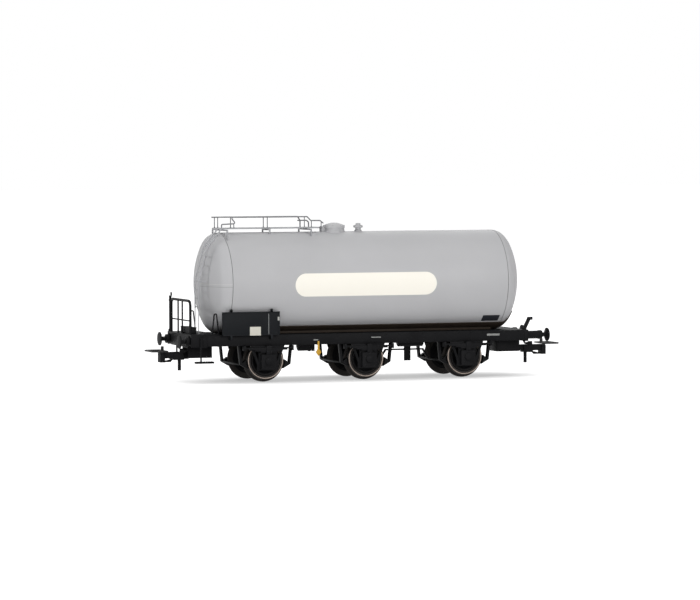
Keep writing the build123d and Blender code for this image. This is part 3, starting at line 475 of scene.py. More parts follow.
def refined(node, material, body="wagon", edge=EDGE, swell=0.0):
    """A copy of a CAD node with flat faces made whole, its edges slightly rounded and, if asked, made thicker."""
    shape = bmesh.new()
    shape.from_mesh(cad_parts[node].data)
    bmesh.ops.remove_doubles(shape, verts=shape.verts, dist=0.001 * MM)
    bmesh.ops.dissolve_limit(shape, angle_limit=math.radians(3), verts=shape.verts, edges=shape.edges,
                             use_dissolve_boundaries=False)
    shape.normal_update()
    for corner in shape.verts:
        corner.co += corner.normal * swell
    sharp = [line for line in shape.edges if len(line.link_faces) == 2 and line.calc_face_angle(0) > math.radians(30)]
    bmesh.ops.bevel(shape, geom=sharp, offset=edge, offset_type="OFFSET", segments=2, profile=0.5,
                    affect="EDGES", material=-1, clamp_overlap=True)
    finished(f"{node}_fine", shape, material, nodes=(node,), body=body, crease=40)


# Tank
def dish_profile(seam, tip, radius):
    """Half the profile of a dished end, from the seam to the tip, along X."""
    outward = 1 if tip > seam else -1
    depth = abs(tip - seam)
    flat = radius - DISHED_KNUCKLE
    crown = (depth**2 + flat**2 - DISHED_KNUCKLE**2) / (2 * (depth - DISHED_KNUCKLE))
    turn = math.degrees(math.asin(flat / (crown - DISHED_KNUCKLE)))
    knuckle_arc = arc_profile(0, flat, DISHED_KNUCKLE, 90, turn, 14)
    crown_arc = arc_profile(depth - crown, 0, crown, turn, 0, 22)
    return [(seam + outward * along, max(reach, 0.0)) for along, reach in knuckle_arc + crown_arc[1:]]


def stretched(shape, top_z):
    """Deepen a tank piece about its top line."""
    for corner in shape.verts:
        corner.co.z = top_z - (top_z - corner.co.z) * TANK_STRETCH


def make_tank():
    low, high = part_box("tank_barrel")
    tip_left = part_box("tank_end_left")[0].x
    tip_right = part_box("tank_end_right")[1].x
    radius = (high.y - low.y) / 2
    axis_z = high.z - radius
    middle = Vector((0, 0, axis_z))
    seam_left, seam_right = low.x + SEAM_LEFT_SHIFT, high.x

    barrel = bmesh.new()
    turned(barrel, middle, X_AXIS, [
        (seam_left, 0), (seam_left, radius - SEAM_GROOVE), (seam_left + SEAM_GROOVE / 2, radius),
        (seam_right - SEAM_GROOVE / 2, radius), (seam_right, radius - SEAM_GROOVE), (seam_right, 0),
    ], TANK_STEPS)
    stretched(barrel, high.z)
    finished("tank_shell", barrel, TANK_PAINT, nodes=("tank_barrel",), crease=50)

    for end_name, seam, tip in (("left", seam_left, tip_left), ("right", seam_right, tip_right)):
        outward = 1 if tip > seam else -1
        profile = dish_profile(seam, tip, radius)
        dish = bmesh.new()
        turned(dish, middle, X_AXIS, [(seam, 0), (seam, radius - SEAM_GROOVE)]
               + [(along + outward * SEAM_GROOVE / 2 * (index == 0), reach)
                  for index, (along, reach) in enumerate(profile)], TANK_STEPS)
        stretched(dish, high.z)
        finished(f"tank_dish_{end_name}", dish, END_PAINT, nodes=(f"tank_end_{end_name}",), crease=50)

    belly_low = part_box("tank_belly")[0]
    profile = [(seam_left, radius)] + dish_profile(seam_right, tip_right, radius)
    edge_z = axis_z - radius + BELLY_EDGE
    stations = []
    for along, reach in profile:
        past = max(along - seam_right - BELLY_BEND, 0.0)
        drop = axis_z - edge_z - min(past**2 * BELLY_CURL, BELLY_RISE)
        if reach > drop:
            stations.append((along, reach, math.acos(drop / reach)))
    belly = bmesh.new()
    across = 48
    bmesh.ops.create_grid(belly, x_segments=len(stations) - 1, y_segments=across, size=1.0)
    for corner in belly.verts:
        station = round((corner.co.x + 1) / 2 * (len(stations) - 1))
        along, reach, widest = stations[station]
        angle = corner.co.y * widest
        corner.co = Vector((along, reach * math.sin(angle), axis_z - reach * math.cos(angle)))
    bmesh.ops.recalc_face_normals(belly, faces=belly.faces)
    if min(belly.faces, key=lambda face: face.calc_center_median().z).normal.z > 0:
        bmesh.ops.reverse_faces(belly, faces=belly.faces)
    for corner in belly.verts:
        corner.co += corner.normal * BELLY_PROUD
    bmesh.ops.solidify(belly, geom=list(belly.faces), thickness=BELLY_PROUD * 2)
    stretched(belly, high.z)
    add_block(belly, (seam_left + 2 * MM, seam_right - 2 * MM), (-5 * MM, 5 * MM),
              (belly_low.z, belly_low.z + BELLY_PAD))
    finished("belly_shell", belly, BELLY_PAINT, nodes=("tank_belly",), crease=40)


# Roof fittings
def make_manhole():
    low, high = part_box("manhole")
    radius = (high.y - low.y) / 2
    centre = Vector((high.x - radius, 0, 0))
    rim = high.z - LID_RISE
    body = radius - LID_BODY_STEP
    foot = low.z - 0.1 * MM
    shape = bmesh.new()
    crown = (radius**2 + LID_RISE**2) / (2 * LID_RISE)
    reach = math.degrees(math.asin(body / crown))
    lid = arc_profile(high.z - crown, 0, crown, reach, 0, 10)
    turned(shape, centre, Z_AXIS, [
        (foot, 0), (foot, radius + 0.1 * MM), (foot + 0.55 * MM, radius + 0.1 * MM), (foot + 0.65 * MM, body),
        (rim - 0.75 * MM, body), (rim - 0.7 * MM, radius), (rim - 0.1 * MM, radius),
        (rim - 0.02 * MM, radius - 0.05 * MM),
    ] + [(along, max(out, 0.0)) for along, out in lid], LID_STEPS)
    bolts = 8
    for bolt in range(bolts):
        angle = math.radians((bolt + 0.5) * 360 / bolts)
        place = centre + Vector((math.cos(angle), math.sin(angle), 0)) * (radius - 0.25 * MM)
        add_rod(shape, place + Z_AXIS * (rim - 0.55 * MM), place + Z_AXIS * (rim + 0.22 * MM), 0.5 * MM, steps=10)
    add_block(shape, (low.x, centre.x - radius * 0.9), (-0.8 * MM, 0.8 * MM), (foot + 0.3 * MM, rim - 0.5 * MM))
    hinge_x, hinge_z = low.x + 0.35 * MM, rim - 0.4 * MM
    add_rod(shape, (hinge_x, -1.0 * MM, hinge_z), (hinge_x, 1.0 * MM, hinge_z), 0.6 * MM)
    finished("manhole_dome", shape, END_PAINT, nodes=("manhole",), crease=40)


def make_valve():
    low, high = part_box("vent_valve")
    centre = Vector(((low.x + high.x) / 2, 0, 0))
    flange = (high.x - low.x) / 2
    foot = low.z - 0.1 * MM
    top = high.z
    shape = bmesh.new()
    turned(shape, centre, Z_AXIS, [
        (foot, 0), (foot, 1.15 * MM), (foot + 0.35 * MM, 1.1 * MM), (foot + 0.45 * MM, 0.85 * MM),
        (top - 1.34 * MM, 0.85 * MM),
        (top - 1.3 * MM, flange), (top - 0.74 * MM, flange), (top - 0.7 * MM, 0.78 * MM),
        (top - 0.12 * MM, 0.72 * MM), (top, 0.55 * MM), (top, 0),
    ], FINE_STEPS)
    bolts = 6
    for bolt in range(bolts):
        angle = math.radians(bolt * 360 / bolts)
        place = centre + Vector((math.cos(angle), math.sin(angle), 0)) * (flange - 0.28 * MM)
        add_rod(shape, place + Z_AXIS * (top - 1.4 * MM), place + Z_AXIS * (top - 0.6 * MM), 0.3 * MM, steps=8)
    finished("valve_head", shape, END_PAINT, nodes=("vent_valve",), crease=40)


def make_walkway():
    low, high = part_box("walkway_floor")
    floor_top = high.z
    shape = bmesh.new()
    for y in (low.y, high.y - GRID_FRAME):
        add_block(shape, (low.x, high.x), (y, y + GRID_FRAME), (low.z, high.z))
    for x in (low.x, high.x - GRID_FRAME):
        add_block(shape, (x, x + GRID_FRAME), (low.y, high.y), (low.z, high.z))
    for tread in range(GRID_TREADS):
        x = low.x + (tread + 1) * (high.x - low.x) / (GRID_TREADS + 1)
        add_block(shape, (x - 0.14 * MM, x + 0.14 * MM), (low.y + 0.2 * MM, high.y - 0.2 * MM),
                  (low.z + 0.08 * MM, high.z - 0.03 * MM), edge=0.03 * MM)
    for share in (0.36, 0.64):
        y = low.y + share * (high.y - low.y)
        add_block(shape, (low.x, high.x), (y - 0.12 * MM, y + 0.12 * MM), (low.z, high.z - 0.08 * MM), edge=0.03 * MM)
    finished("walkway_grid", shape, WALKWAY_GREY, nodes=("walkway_floor",))
    refined("walkway_brackets", WALKWAY_GREY)

    left, length = low.x, high.x - low.x
    rail_y = high.y - WIRE / 2
    rail_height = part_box("walkway_rail_near")[1].z - WIRE / 2 - floor_top
    low_share = RAIL_LOW / rail_height

    def on_rail(line, points):
        """Points given by share of the walkway's length and of the rail's height."""
        return [(left + along * length, line, floor_top + up * rail_height) for along, up in points]

    routes = {
        "near": (
            ((0.053, 0.0), (0.053, 0.33), (0.19, 0.39), (0.14, 1.0), (0.876, 1.0), (0.912, low_share),
             (1.0, low_share), (1.034, 0.35)),
        ),
        "far": (
            ((-0.005, 1.0), (0.822, 1.0), (0.847, low_share), (0.847, 0.0)),
            ((0.822, low_share), (0.91, low_share), (0.93, 0.7 * low_share), (0.93, 0.0)),
        ),
    }
    posts = {
        "near": ((0.17, 0.33), (0.492, 1.0), (0.85, 1.0), (0.918, low_share)),
        "far": ((0.022, 1.0), (0.053, 1.0), (0.176, 1.0), (0.492, 1.0)),
    }
    for side_name, side in SIDES:
        shape = bmesh.new()
        line = side * rail_y
        for points in routes[side_name]:
            add_wire(shape, on_rail(line, points), WIRE, 0.35 * MM)
        for along, up in posts[side_name]:
            foot, top = on_rail(line, ((along, 0.0), (along, up)))
            add_wire(shape, (foot, top), THIN_WIRE)
            add_rod(shape, foot, Vector(foot) + Z_AXIS * 0.18 * MM, 0.5 * MM, steps=10)
        if side_name == "near":
            strut_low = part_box("walkway_rail_near")[0].z
            strut_x = high.x + WIRE
            strut_top = floor_top + RAIL_LOW - WIRE / 2
            add_wire(shape, ((strut_x, line, strut_low), (strut_x, line, strut_top)), THIN_WIRE)
        finished(f"rail_{side_name}", shape, RAIL_GREY, nodes=(f"walkway_rail_{side_name}",))


# Ladder on the dished end
def make_ladder():
    low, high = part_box("end_ladder")
    barrel_low, barrel_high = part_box("tank_barrel")
    radius = (barrel_high.y - barrel_low.y) / 2
    axis_z = barrel_high.z - radius
    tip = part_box("tank_end_left")[0].x
    rail_x = low.x + WIRE / 2
    foot_z = low.z
    knee_z = axis_z + 0.6 * MM
    bend_x = barrel_low.x - 0.9 * (barrel_low.x - tip)
    bend_z = axis_z + 0.71 * radius
    top_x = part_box("walkway_floor")[0].x - WIRE / 2
    top_z = high.z - WIRE / 2
    platform_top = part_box("platform")[1].z
    shape = bmesh.new()
    for place in LADDER_SIDES:
        add_wire(shape, [(rail_x, place, foot_z), (rail_x, place, knee_z), (bend_x, place, bend_z),
                         (top_x, place, top_z)], WIRE, 0.8 * MM)
        add_wire(shape, [(rail_x, place, knee_z), (tip + 0.5 * MM, place, knee_z)], THIN_WIRE)
        add_wire(shape, [(rail_x, place, platform_top), (rail_x, place, foot_z)], THIN_WIRE)
    add_wire(shape, [(top_x, LADDER_SIDES[0], top_z), (top_x, 0, top_z)], WIRE)
    for rung in range(LADDER_RUNGS):
        rung_z = foot_z + WIRE + rung * (bend_z - foot_z) / LADDER_RUNGS
        rung_x = rail_x + max(0.0, rung_z - knee_z) / (bend_z - knee_z) * (bend_x - rail_x)
        add_wire(shape, [(rung_x, place, rung_z) for place in LADDER_SIDES], THIN_WIRE)
    finished("ladder_rungs", shape, WALKWAY_GREY, nodes=("end_ladder",))


# Platform fittings
def make_platform():
    refined("platform", CHASSIS_BLACK)
    platform_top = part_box("platform")[1].z
    low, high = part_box("end_railing")
    rail_x = (low.x + high.x) / 2
    top_z = high.z - RAILING_WIRE / 2
    near_y, far_y = low.y + RAILING_WIRE / 2, high.y - RAILING_WIRE / 2
    shape = bmesh.new()
    add_wire(shape, [(rail_x, near_y, platform_top), (rail_x, near_y, top_z), (rail_x, far_y, top_z),
                     (rail_x, far_y, platform_top)], RAILING_WIRE, 1.6 * MM)
    middle_z = platform_top + RAILING_MIDDLE
    add_wire(shape, [(rail_x, near_y, middle_z), (rail_x, far_y, middle_z)], WIRE)
    posts_y = [near_y + share * (far_y - near_y) for share in (0.42, 0.64)]
    for post_y in posts_y:
        add_wire(shape, [(rail_x, post_y, platform_top), (rail_x, post_y, top_z)], RAILING_POST)
    for foot_y in (near_y, *posts_y, far_y):
        add_rod(shape, (rail_x, foot_y, platform_top), (rail_x, foot_y, platform_top + 0.3 * MM), 0.85 * MM, steps=12)
    finished("railing_wires", shape, CHASSIS_BLACK, nodes=("end_railing",))

    low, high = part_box("brake_column")
    column_x = (low.x + high.x) / 2
    column_y = high.y - COLUMN_WIDTH
    top_z = high.z - 1.0 * MM
    shape = bmesh.new()
    slim = COLUMN_WIDTH / 2
    turned(shape, Vector((column_x, column_y, 0)), Z_AXIS, [
        (platform_top, 0), (platform_top, 0.65 * MM), (platform_top + 0.6 * MM, 0.6 * MM),
        (platform_top + 0.8 * MM, slim), (top_z - 1.6 * MM, slim), (top_z - 1.5 * MM, 0.5 * MM),
        (top_z - 1.25 * MM, 0.5 * MM), (top_z - 1.15 * MM, slim),
        (top_z - 0.05 * MM, slim), (top_z, slim * 0.8), (top_z, 0),
    ], 28)
    crank_z = top_z - slim
    crank_y = column_y - 1.0 * MM
    add_wire(shape, [(column_x, high.y, crank_z), (column_x, crank_y, crank_z), (column_x, crank_y, high.z - 0.1 * MM)],
             slim, 0.25 * MM)
    add_rod(shape, (column_x, crank_y, crank_z + 0.45 * MM), (column_x, crank_y, high.z), 0.5 * MM, steps=14)
    finished("column_crank", shape, CHASSIS_BLACK, nodes=("brake_column",))

    low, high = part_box("platform_box")
    shape = bmesh.new()
    add_block(shape, (low.x, high.x), (low.y, high.y), (low.z, high.z - 0.3 * MM))
    lid = 0.06 * MM
    add_block(shape, (low.x - lid, high.x + lid), (low.y - lid, high.y + lid), (high.z - 0.32 * MM, high.z))
    for share in (0.2, 0.8):
        hinge_y = low.y + share * (high.y - low.y)
        ends = [(high.x + lid, hinge_y + shift * MM, high.z - 0.3 * MM) for shift in (-0.4, 0.4)]
        add_rod(shape, *ends, 0.3 * MM, steps=12)
    finished("box_lidded", shape, CHASSIS_BLACK, nodes=("platform_box",))

    for side_name, side in SIDES:
        low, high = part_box(f"step_{side_name}")
        shape = bmesh.new()
        tread_top = low.z + 0.55 * MM
        add_block(shape, (low.x, high.x), (low.y, high.y), (low.z, tread_top))
        for rib in range(7):
            rib_x = low.x + (rib + 0.7) * (high.x - low.x) / 7.4
            add_block(shape, (rib_x, rib_x + 0.2 * MM), (low.y + 0.15 * MM, high.y - 0.15 * MM),
                      (tread_top - 0.05 * MM, tread_top + 0.05 * MM), edge=0.02 * MM)
        stem_x = (low.x + high.x) / 2 - 2 * WIRE
        stem_y = side * (min(abs(low.y), abs(high.y)) + WIRE / 2)
        add_block(shape, (stem_x - 0.22 * MM, stem_x + 0.22 * MM), (stem_y - 0.18 * MM, stem_y + 0.18 * MM),
                  (low.z + 0.1 * MM, high.z))
        for bolt_z in (high.z - 0.5 * MM, high.z - 1.5 * MM):
            add_rod(shape, (stem_x, stem_y, bolt_z), (stem_x, stem_y + side * 0.3 * MM, bolt_z), 0.32 * MM, steps=8)
        finished(f"step_ribbed_{side_name}", shape, CHASSIS_BLACK, nodes=(f"step_{side_name}",))

    low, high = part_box("grab_loops")
    middle_x = (low.x + high.x) / 2
    shape = bmesh.new()
    for side_name, side in SIDES:
        line = side * (high.y - WIRE / 2)
        corners = ((-1.0, low.z), (-0.33, high.z - 0.15 * MM), (0.33, high.z - 0.15 * MM), (1.0, low.z))
        add_wire(shape, [(middle_x + shift * MM, line, z) for shift, z in corners], WIRE, 0.3 * MM)
    finished("grab_wires", shape, CHASSIS_BLACK, nodes=("grab_loops",))


# Sign boards with a frame, clips and bolts
def make_boards():
    for side_name, side in SIDES:
        low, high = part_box(f"sign_board_{side_name}")
        inner = side * (max(abs(low.y), abs(high.y)) - BOARD_DEPTH)
        outer = side * max(abs(low.y), abs(high.y))
        foot_low = low.z
        frame_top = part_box("solebar_near")[1].z
        board_top = high.z - 0.8 * MM
        shape = bmesh.new()
        add_block(shape, (low.x, high.x), (inner, outer - side * 0.08 * MM), (frame_top, board_top))
        for x_span, z_span in (
            ((low.x, high.x), (frame_top, frame_top + BOARD_RIM)),
            ((low.x, high.x), (board_top - BOARD_RIM, board_top)),
            ((low.x, low.x + BOARD_RIM), (frame_top, board_top)),
            ((high.x - BOARD_RIM, high.x), (frame_top, board_top)),
        ):
            add_block(shape, x_span, (inner, outer), z_span, edge=0.04 * MM)
        for share in (0.16, 0.86):
            foot_x = low.x + share * (high.x - low.x)
            foot_span = (foot_x - 0.3 * MM, foot_x + 0.3 * MM)
            clip_span = (foot_x - 0.35 * MM, foot_x + 0.35 * MM)
            add_block(shape, foot_span, (side * 12.0 * MM, inner), (foot_low, foot_low + 0.6 * MM))
            add_block(shape, foot_span, (inner, outer), (foot_low, frame_top + 0.1 * MM))
            add_block(shape, clip_span, (inner, outer), (board_top - 0.2 * MM, board_top + 0.45 * MM))
            turned_about(shape, Vector((foot_x, inner, board_top + 0.45 * MM)), Vector((0, side, 0)),
                         [(0, 0), (0, 0.42 * MM), (0.4 * MM, 0.42 * MM), (0.4 * MM, 0)], 20)
        finished(f"board_{side_name}", shape, SIGN_BLACK, nodes=(f"sign_board_{side_name}",))


# Underframe
def make_underframe():
    for node in ("solebar_near", "solebar_far", "headstock_left", "headstock_right", "frame_floor",
                 "air_reservoir", "brake_levers", "brake_shoes_near", "brake_shoes_far", "coupler_box_left",
                 "coupler_box_right"):
        refined(node, CHASSIS_BLACK)
    low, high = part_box("solebar_near")
    shape = bmesh.new()
    for side_name, side in SIDES:
        for rivet in range(SOLEBAR_RIVETS):
            x = low.x + (rivet + 0.5) * (high.x - low.x) / SOLEBAR_RIVETS
            for z in (low.z + 0.45 * MM, high.z - 0.45 * MM):
                add_rod(shape, (x, side * SOLEBAR_FACE, z), (x, side * 12.12 * MM, z), 0.34 * MM, steps=8)
    finished("solebar_rivets", shape, CHASSIS_BLACK)
    shape = bmesh.new()
    plates = ((37.4, 41.4, 12.35, 12.95), (-17.0, -15.6, 12.0, 12.35), (0.9, 3.9, 12.45, 12.75))
    for x_from, x_to, z_from, z_to in plates:
        add_block(shape, (x_from * MM, x_to * MM), (-12.15 * MM, -11.98 * MM), (z_from * MM, z_to * MM),
                  edge=0.03 * MM)
    finished("blank_plates", shape, PLATE_GREY)
    refined("brake_cylinder", CHASSIS_BLACK)
    refined("changeover_handle", YELLOW, edge=0.08 * MM)
    refined("end_lever", CHASSIS_BLACK, edge=0.12 * MM, swell=0.14 * MM)
    for number in (1, 2, 3):
        for side_name, side in SIDES:
            refined(f"axle_guard_{number}_{side_name}", CHASSIS_BLACK)


# Wheels
def make_wheels():
    ring = TREAD_RADIUS - 0.9 * MM
    for number in (1, 2, 3):
        low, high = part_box(f"wheelset_{number}")
        centre = Vector(((low.x + high.x) / 2, 0, (low.z + high.z) / 2))
        body = f"wheelset_{number}"
        tyres = bmesh.new()
        rings = bmesh.new()
        discs = bmesh.new()
        for _, side in SIDES:
            face = centre + Y_AXIS * side * WHEEL_FACE
            inward = Vector((0, -side, 0))
            turned(tyres, face, inward, in_mm((
                (0.12, 4.6), (0.12, 5.0), (0.04, 5.05), (0.04, 5.38), (0.15, 5.5), (1.75, 5.58), (1.95, 5.8),
                (2.15, 6.2), (2.45, 6.29), (2.7, 6.18), (2.8, 5.9), (2.8, 4.6), (0.12, 4.6))), WHEEL_STEPS)
            for ring_mesh, inner, outer, depth in ((rings, 5.06, 5.38, 0.0), (tyres, 4.1, 4.2, 0.03)):
                turned(ring_mesh, face, inward, in_mm((
                    (depth + 0.25, inner), (depth + 0.02, inner), (depth, inner + 0.03), (depth, outer - 0.03),
                    (depth + 0.02, outer), (depth + 0.25, outer), (depth + 0.25, inner))), WHEEL_STEPS)
            turned(discs, face, inward, [
                (0.1 * MM, 0), (0.1 * MM, 1.75 * MM), (0.2 * MM, 1.82 * MM), (1.3 * MM, 1.9 * MM),
                (0.75 * MM, 3.4 * MM), (0.65 * MM, 3.62 * MM), (0.16 * MM, 3.72 * MM), (0.1 * MM, 3.8 * MM),
                (0.1 * MM, 4.2 * MM), (0.15 * MM, 4.26 * MM), (0.4 * MM, 4.3 * MM), (0.4 * MM, ring),
                (2.6 * MM, ring), (2.6 * MM, 3.7 * MM), (1.5 * MM, 3.6 * MM), (2.0 * MM, 1.85 * MM),
                (2.6 * MM, 1.8 * MM), (2.7 * MM, 1.0 * MM), (2.7 * MM, 0),
            ], WHEEL_STEPS)
        tip = (high.y - low.y) / 2
        turned(discs, centre, Y_AXIS, [
            (-tip, 0), (-tip + 0.3 * MM, 0.5 * MM), (-tip + 0.5 * MM, 0.58 * MM), (-10.2 * MM, 0.6 * MM),
            (-7.3 * MM, 0.98 * MM), (7.3 * MM, 0.98 * MM), (10.2 * MM, 0.6 * MM), (tip - 0.5 * MM, 0.58 * MM),
            (tip - 0.3 * MM, 0.5 * MM), (tip, 0),
        ], 32)
        finished(f"wheel_tyres_{number}", tyres, TREAD_METAL, nodes=(f"tyres_{number}",), body=body)
        finished(f"wheel_rings_{number}", rings, TYRE_METAL, body=body)
        finished(f"wheel_discs_{number}", discs, CHASSIS_BLACK, nodes=(f"wheelset_{number}",),
                 body=body)


# Buffers
def make_buffers():
    for end_name, outward in ENDS:
        for side_name, _ in SIDES:
            low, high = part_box(f"buffer_{end_name}_{side_name}")
            base = low.x if outward > 0 else high.x
            centre = Vector((base, (low.y + high.y) / 2, (low.z + high.z) / 2))
            along = Vector((outward, 0, 0))
            shape = bmesh.new()
            turned(shape, centre, along, in_mm((
                (0, 0), (0, 1.4), (0.4, 1.4), (0.5, 1.35), (0.62, 1.25), (0.9, 1.2), (3.72, 1.2), (3.8, 1.3),
                (3.9, 1.32), (4.8, 1.32), (4.9, 1.25), (4.9, 0.65), (6.0, 0.65), (6.2, 0.9), (6.5, 1.88),
                (6.56, 2.0), (6.82, 2.0), (6.95, 1.9), (7.04, 1.2), (7.1, 0))), FINE_STEPS)
            bolts = 4
            for bolt in range(bolts):
                angle = math.radians((bolt + 0.5) * 360 / bolts)
                place = centre + Vector((0, math.cos(angle), math.sin(angle))) * 1.12 * MM
                add_rod(shape, place + along * 0.3 * MM, place + along * 0.72 * MM, 0.34 * MM, steps=8)
            finished(f"buffer_turned_{end_name}_{side_name}", shape, CHASSIS_BLACK,
                     nodes=(f"buffer_{end_name}_{side_name}",), crease=45)


# Couplers
def make_couplers():
    for end_name, outward in ENDS:
        refined(f"coupler_{end_name}", CHASSIS_BLACK, body=f"coupler_{end_name}", edge=0.1 * MM)
        low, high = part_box(f"coupling_loop_{end_name}")
        pivot_x = (low.x + 0.2 * MM) if outward > 0 else (high.x - 0.2 * MM)
        tip_x = (high.x - 0.25 * MM) if outward > 0 else (low.x + 0.25 * MM)
        shape = bmesh.new()
        add_wire(shape, [(pivot_x, -LOOP_HALF, LOOP_Z), (tip_x, -LOOP_HALF, LOOP_Z), (tip_x, LOOP_HALF, LOOP_Z),
                         (pivot_x, LOOP_HALF, LOOP_Z)], 0.5 * MM, 0.9 * MM)
        add_wire(shape, [(pivot_x, -4.2 * MM, LOOP_Z), (pivot_x, 4.2 * MM, LOOP_Z)], 0.45 * MM)
        add_block(shape, (pivot_x, pivot_x + outward * 0.8 * MM), (-0.4 * MM, 0.4 * MM),
                  (LOOP_Z - 0.2 * MM, high.z), edge=0.12 * MM)
        finished(f"loop_wires_{end_name}", shape, WIRE_BLACK, nodes=(f"coupling_loop_{end_name}",),
                 body=f"coupling_loop_{end_name}")


# Brake hoses beside the couplers
def make_hoses():
    for end_name, outward in ENDS:
        low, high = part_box(f"brake_hose_{end_name}")
        line = (low.y + high.y) / 2
        base_x = low.x if outward > 0 else high.x
        head_x = high.x if outward > 0 else low.x
        cock_z = high.z - 0.6 * MM
        hose_z = low.z + 0.6 * MM
        shape = bmesh.new()
        add_wire(shape, [(base_x, line, cock_z), (base_x + outward * 1.2 * MM, line, cock_z),
                         (base_x + outward * 2.3 * MM, line, hose_z), (head_x - outward * 0.6 * MM, line, hose_z)],
                 0.6 * MM, 0.6 * MM, sides=5)
        add_block(shape, (head_x - outward * 1.2 * MM, head_x), (line - 0.3 * MM, line + 0.3 * MM),
                  (low.z, low.z + 1.2 * MM))
        add_rod(shape, (head_x - outward * 1.7 * MM, line, hose_z), (head_x - outward * 1.1 * MM, line, hose_z),
                0.85 * MM, steps=16)
        add_block(shape, (base_x, base_x + outward * 0.6 * MM), (low.y, high.y), (cock_z - 0.6 * MM, high.z))
        add_rod(shape, (base_x + outward * 0.6 * MM, line, cock_z), (base_x + outward * 1.0 * MM, line, cock_z),
                0.9 * MM, steps=16)
        finished(f"hose_moulded_{end_name}", shape, CHASSIS_BLACK, nodes=(f"brake_hose_{end_name}",))


# Floor, light and camera
def seen_plainly(tree):
    """1 for what the camera sees, in a mirror or through glass too, and 0 for what only lights the wagon."""
    seen = put(tree, "ShaderNodeLightPath")
    direct = sum_of(tree, "MAXIMUM", seen.outputs["Is Camera Ray"], seen.outputs["Is Glossy Ray"])
    return sum_of(tree, "MAXIMUM", direct, seen.outputs["Is Transmission Ray"])


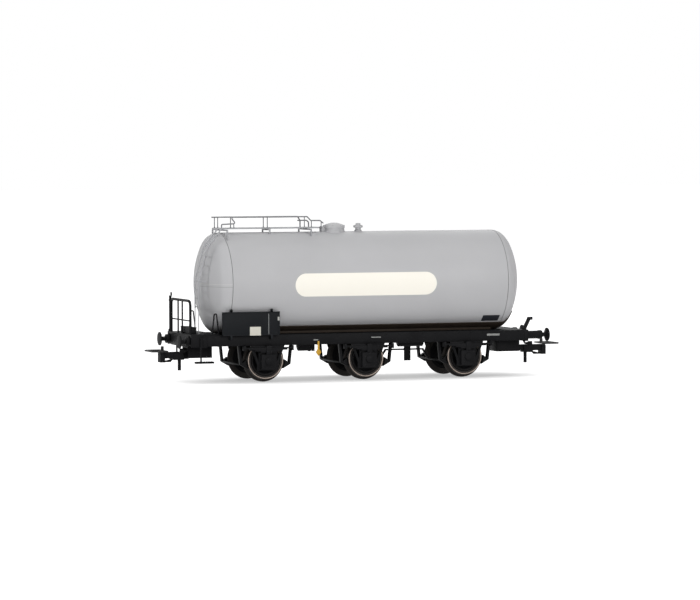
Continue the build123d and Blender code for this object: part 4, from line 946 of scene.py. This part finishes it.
def make_stage():
    shape = bmesh.new()
    bmesh.ops.create_grid(shape, x_segments=1, y_segments=1, size=4.0)
    mesh = bpy.data.meshes.new("floor")
    shape.to_mesh(mesh)
    shape.free()
    floor = bpy.data.objects.new("floor", mesh)
    bpy.context.scene.collection.objects.link(floor)
    material = bpy.data.materials.new("floor_white")
    material.use_nodes = True
    tree = material.node_tree
    tree.nodes.clear()
    plainly = seen_plainly(tree)
    place = put(tree, "ShaderNodeTexCoord").outputs["Object"]
    parts = put(tree, "ShaderNodeSeparateXYZ", sockets={"Vector": place})
    offset_x = sum_of(tree, "SUBTRACT", parts.outputs["X"], SHADE_MIDDLE[0])
    offset_y = sum_of(tree, "SUBTRACT", parts.outputs["Y"], SHADE_MIDDLE[1])
    along = sum_of(tree, "POWER", sum_of(tree, "ABSOLUTE", sum_of(tree, "DIVIDE", offset_x, SHADE_REACH_X)), 4.0)
    across = sum_of(tree, "POWER", sum_of(tree, "ABSOLUTE", sum_of(tree, "DIVIDE", offset_y, SHADE_REACH_Y)), 2.0)
    away = sum_of(tree, "SQRT", sum_of(tree, "ADD", along, across))
    rise = put(tree, "ShaderNodeMapRange", interpolation_type="SMOOTHSTEP", sockets={
        "Value": away, "From Min": SHADE_FULL, "From Max": SHADE_GONE, "To Min": FLOOR_GLOW, "To Max": 1.0}).outputs[0]
    matt = put(tree, "ShaderNodeBsdfDiffuse", sockets={"Color": (0.9, 0.9, 0.9, 1)})
    bounce = put(tree, "ShaderNodeEmission", sockets={"Color": (1, 1, 1, 1), "Strength": FLOOR_BOUNCE})
    unseen = put(tree, "ShaderNodeAddShader")
    link(tree, matt.outputs[0], unseen.inputs[0])
    link(tree, bounce.outputs[0], unseen.inputs[1])
    pale = put(tree, "ShaderNodeBsdfDiffuse", sockets={"Color": (FLOOR_SHADE, FLOOR_SHADE, FLOOR_SHADE, 1)})
    glow = put(tree, "ShaderNodeEmission", sockets={"Color": (1, 1, 1, 1), "Strength": rise})
    shown = put(tree, "ShaderNodeAddShader")
    link(tree, pale.outputs[0], shown.inputs[0])
    link(tree, glow.outputs[0], shown.inputs[1])
    both = put(tree, "ShaderNodeMixShader")
    link(tree, plainly, both.inputs[0])
    link(tree, unseen.outputs[0], both.inputs[1])
    link(tree, shown.outputs[0], both.inputs[2])
    link(tree, both.outputs[0], put(tree, "ShaderNodeOutputMaterial").inputs[0])
    mesh.materials.append(material)

    world = bpy.data.worlds.new("studio")
    bpy.context.scene.world = world
    world.use_nodes = True
    tree = world.node_tree
    tree.nodes.clear()
    plainly = seen_plainly(tree)
    plain = put(tree, "ShaderNodeBackground", sockets={"Color": (1, 1, 1, 1), "Strength": WORLD_LIGHT})
    white = put(tree, "ShaderNodeBackground", sockets={"Color": (1, 1, 1, 1), "Strength": 1.0})
    either = put(tree, "ShaderNodeMixShader")
    link(tree, plainly, either.inputs[0])
    link(tree, plain.outputs[0], either.inputs[1])
    link(tree, white.outputs[0], either.inputs[2])
    link(tree, either.outputs[0], put(tree, "ShaderNodeOutputWorld").inputs[0])

    # name, place, width, height, power
    lamps = (
        ("top_softbox", (0.0, -0.24, 0.95), 0.7, 0.7, 4.2),
        ("front_softbox", (0.1, -1.0, 0.24), 1.0, 0.5, 5.0),
        ("left_softbox", (-0.9, -0.15, 0.35), 0.25, 0.25, 2.6),
        ("back_softbox", (0.2, 0.8, 0.7), 0.7, 0.7, 1.8),
    )
    for name, place, width, height, power in lamps:
        lamp = bpy.data.lights.new(name, "AREA")
        lamp.shape = "RECTANGLE"
        lamp.size = width
        lamp.size_y = height
        lamp.energy = power
        holder = bpy.data.objects.new(name, lamp)
        holder.location = place
        aim = CAMERA_TARGET - Vector(place)
        holder.rotation_euler = aim.to_track_quat("-Z", "Y").to_euler()
        bpy.context.scene.collection.objects.link(holder)


def make_camera():
    back = Vector((
        math.sin(CAMERA_AZIMUTH) * math.cos(CAMERA_ELEVATION),
        -math.cos(CAMERA_AZIMUTH) * math.cos(CAMERA_ELEVATION),
        math.sin(CAMERA_ELEVATION),
    ))
    camera = bpy.data.cameras.new("photo_camera")
    camera.sensor_width = 36.0
    camera.lens = CAMERA_LENS
    camera.clip_start = 0.01
    camera.clip_end = 20.0
    holder = bpy.data.objects.new("photo_camera", camera)
    holder.location = CAMERA_TARGET + back * CAMERA_DISTANCE
    turn = (-back).to_track_quat("-Z", "Y").to_matrix() @ Matrix.Rotation(CAMERA_ROLL, 3, "Z")
    holder.rotation_euler = turn.to_euler()
    bpy.context.scene.collection.objects.link(holder)
    bpy.context.scene.camera = holder


bpy.context.scene.view_settings.view_transform = "Standard"
make_camera()
make_stage()
make_tank()
make_manhole()
make_valve()
make_walkway()
make_ladder()
make_platform()
make_boards()
make_underframe()
make_wheels()
make_buffers()
make_couplers()
make_hoses()
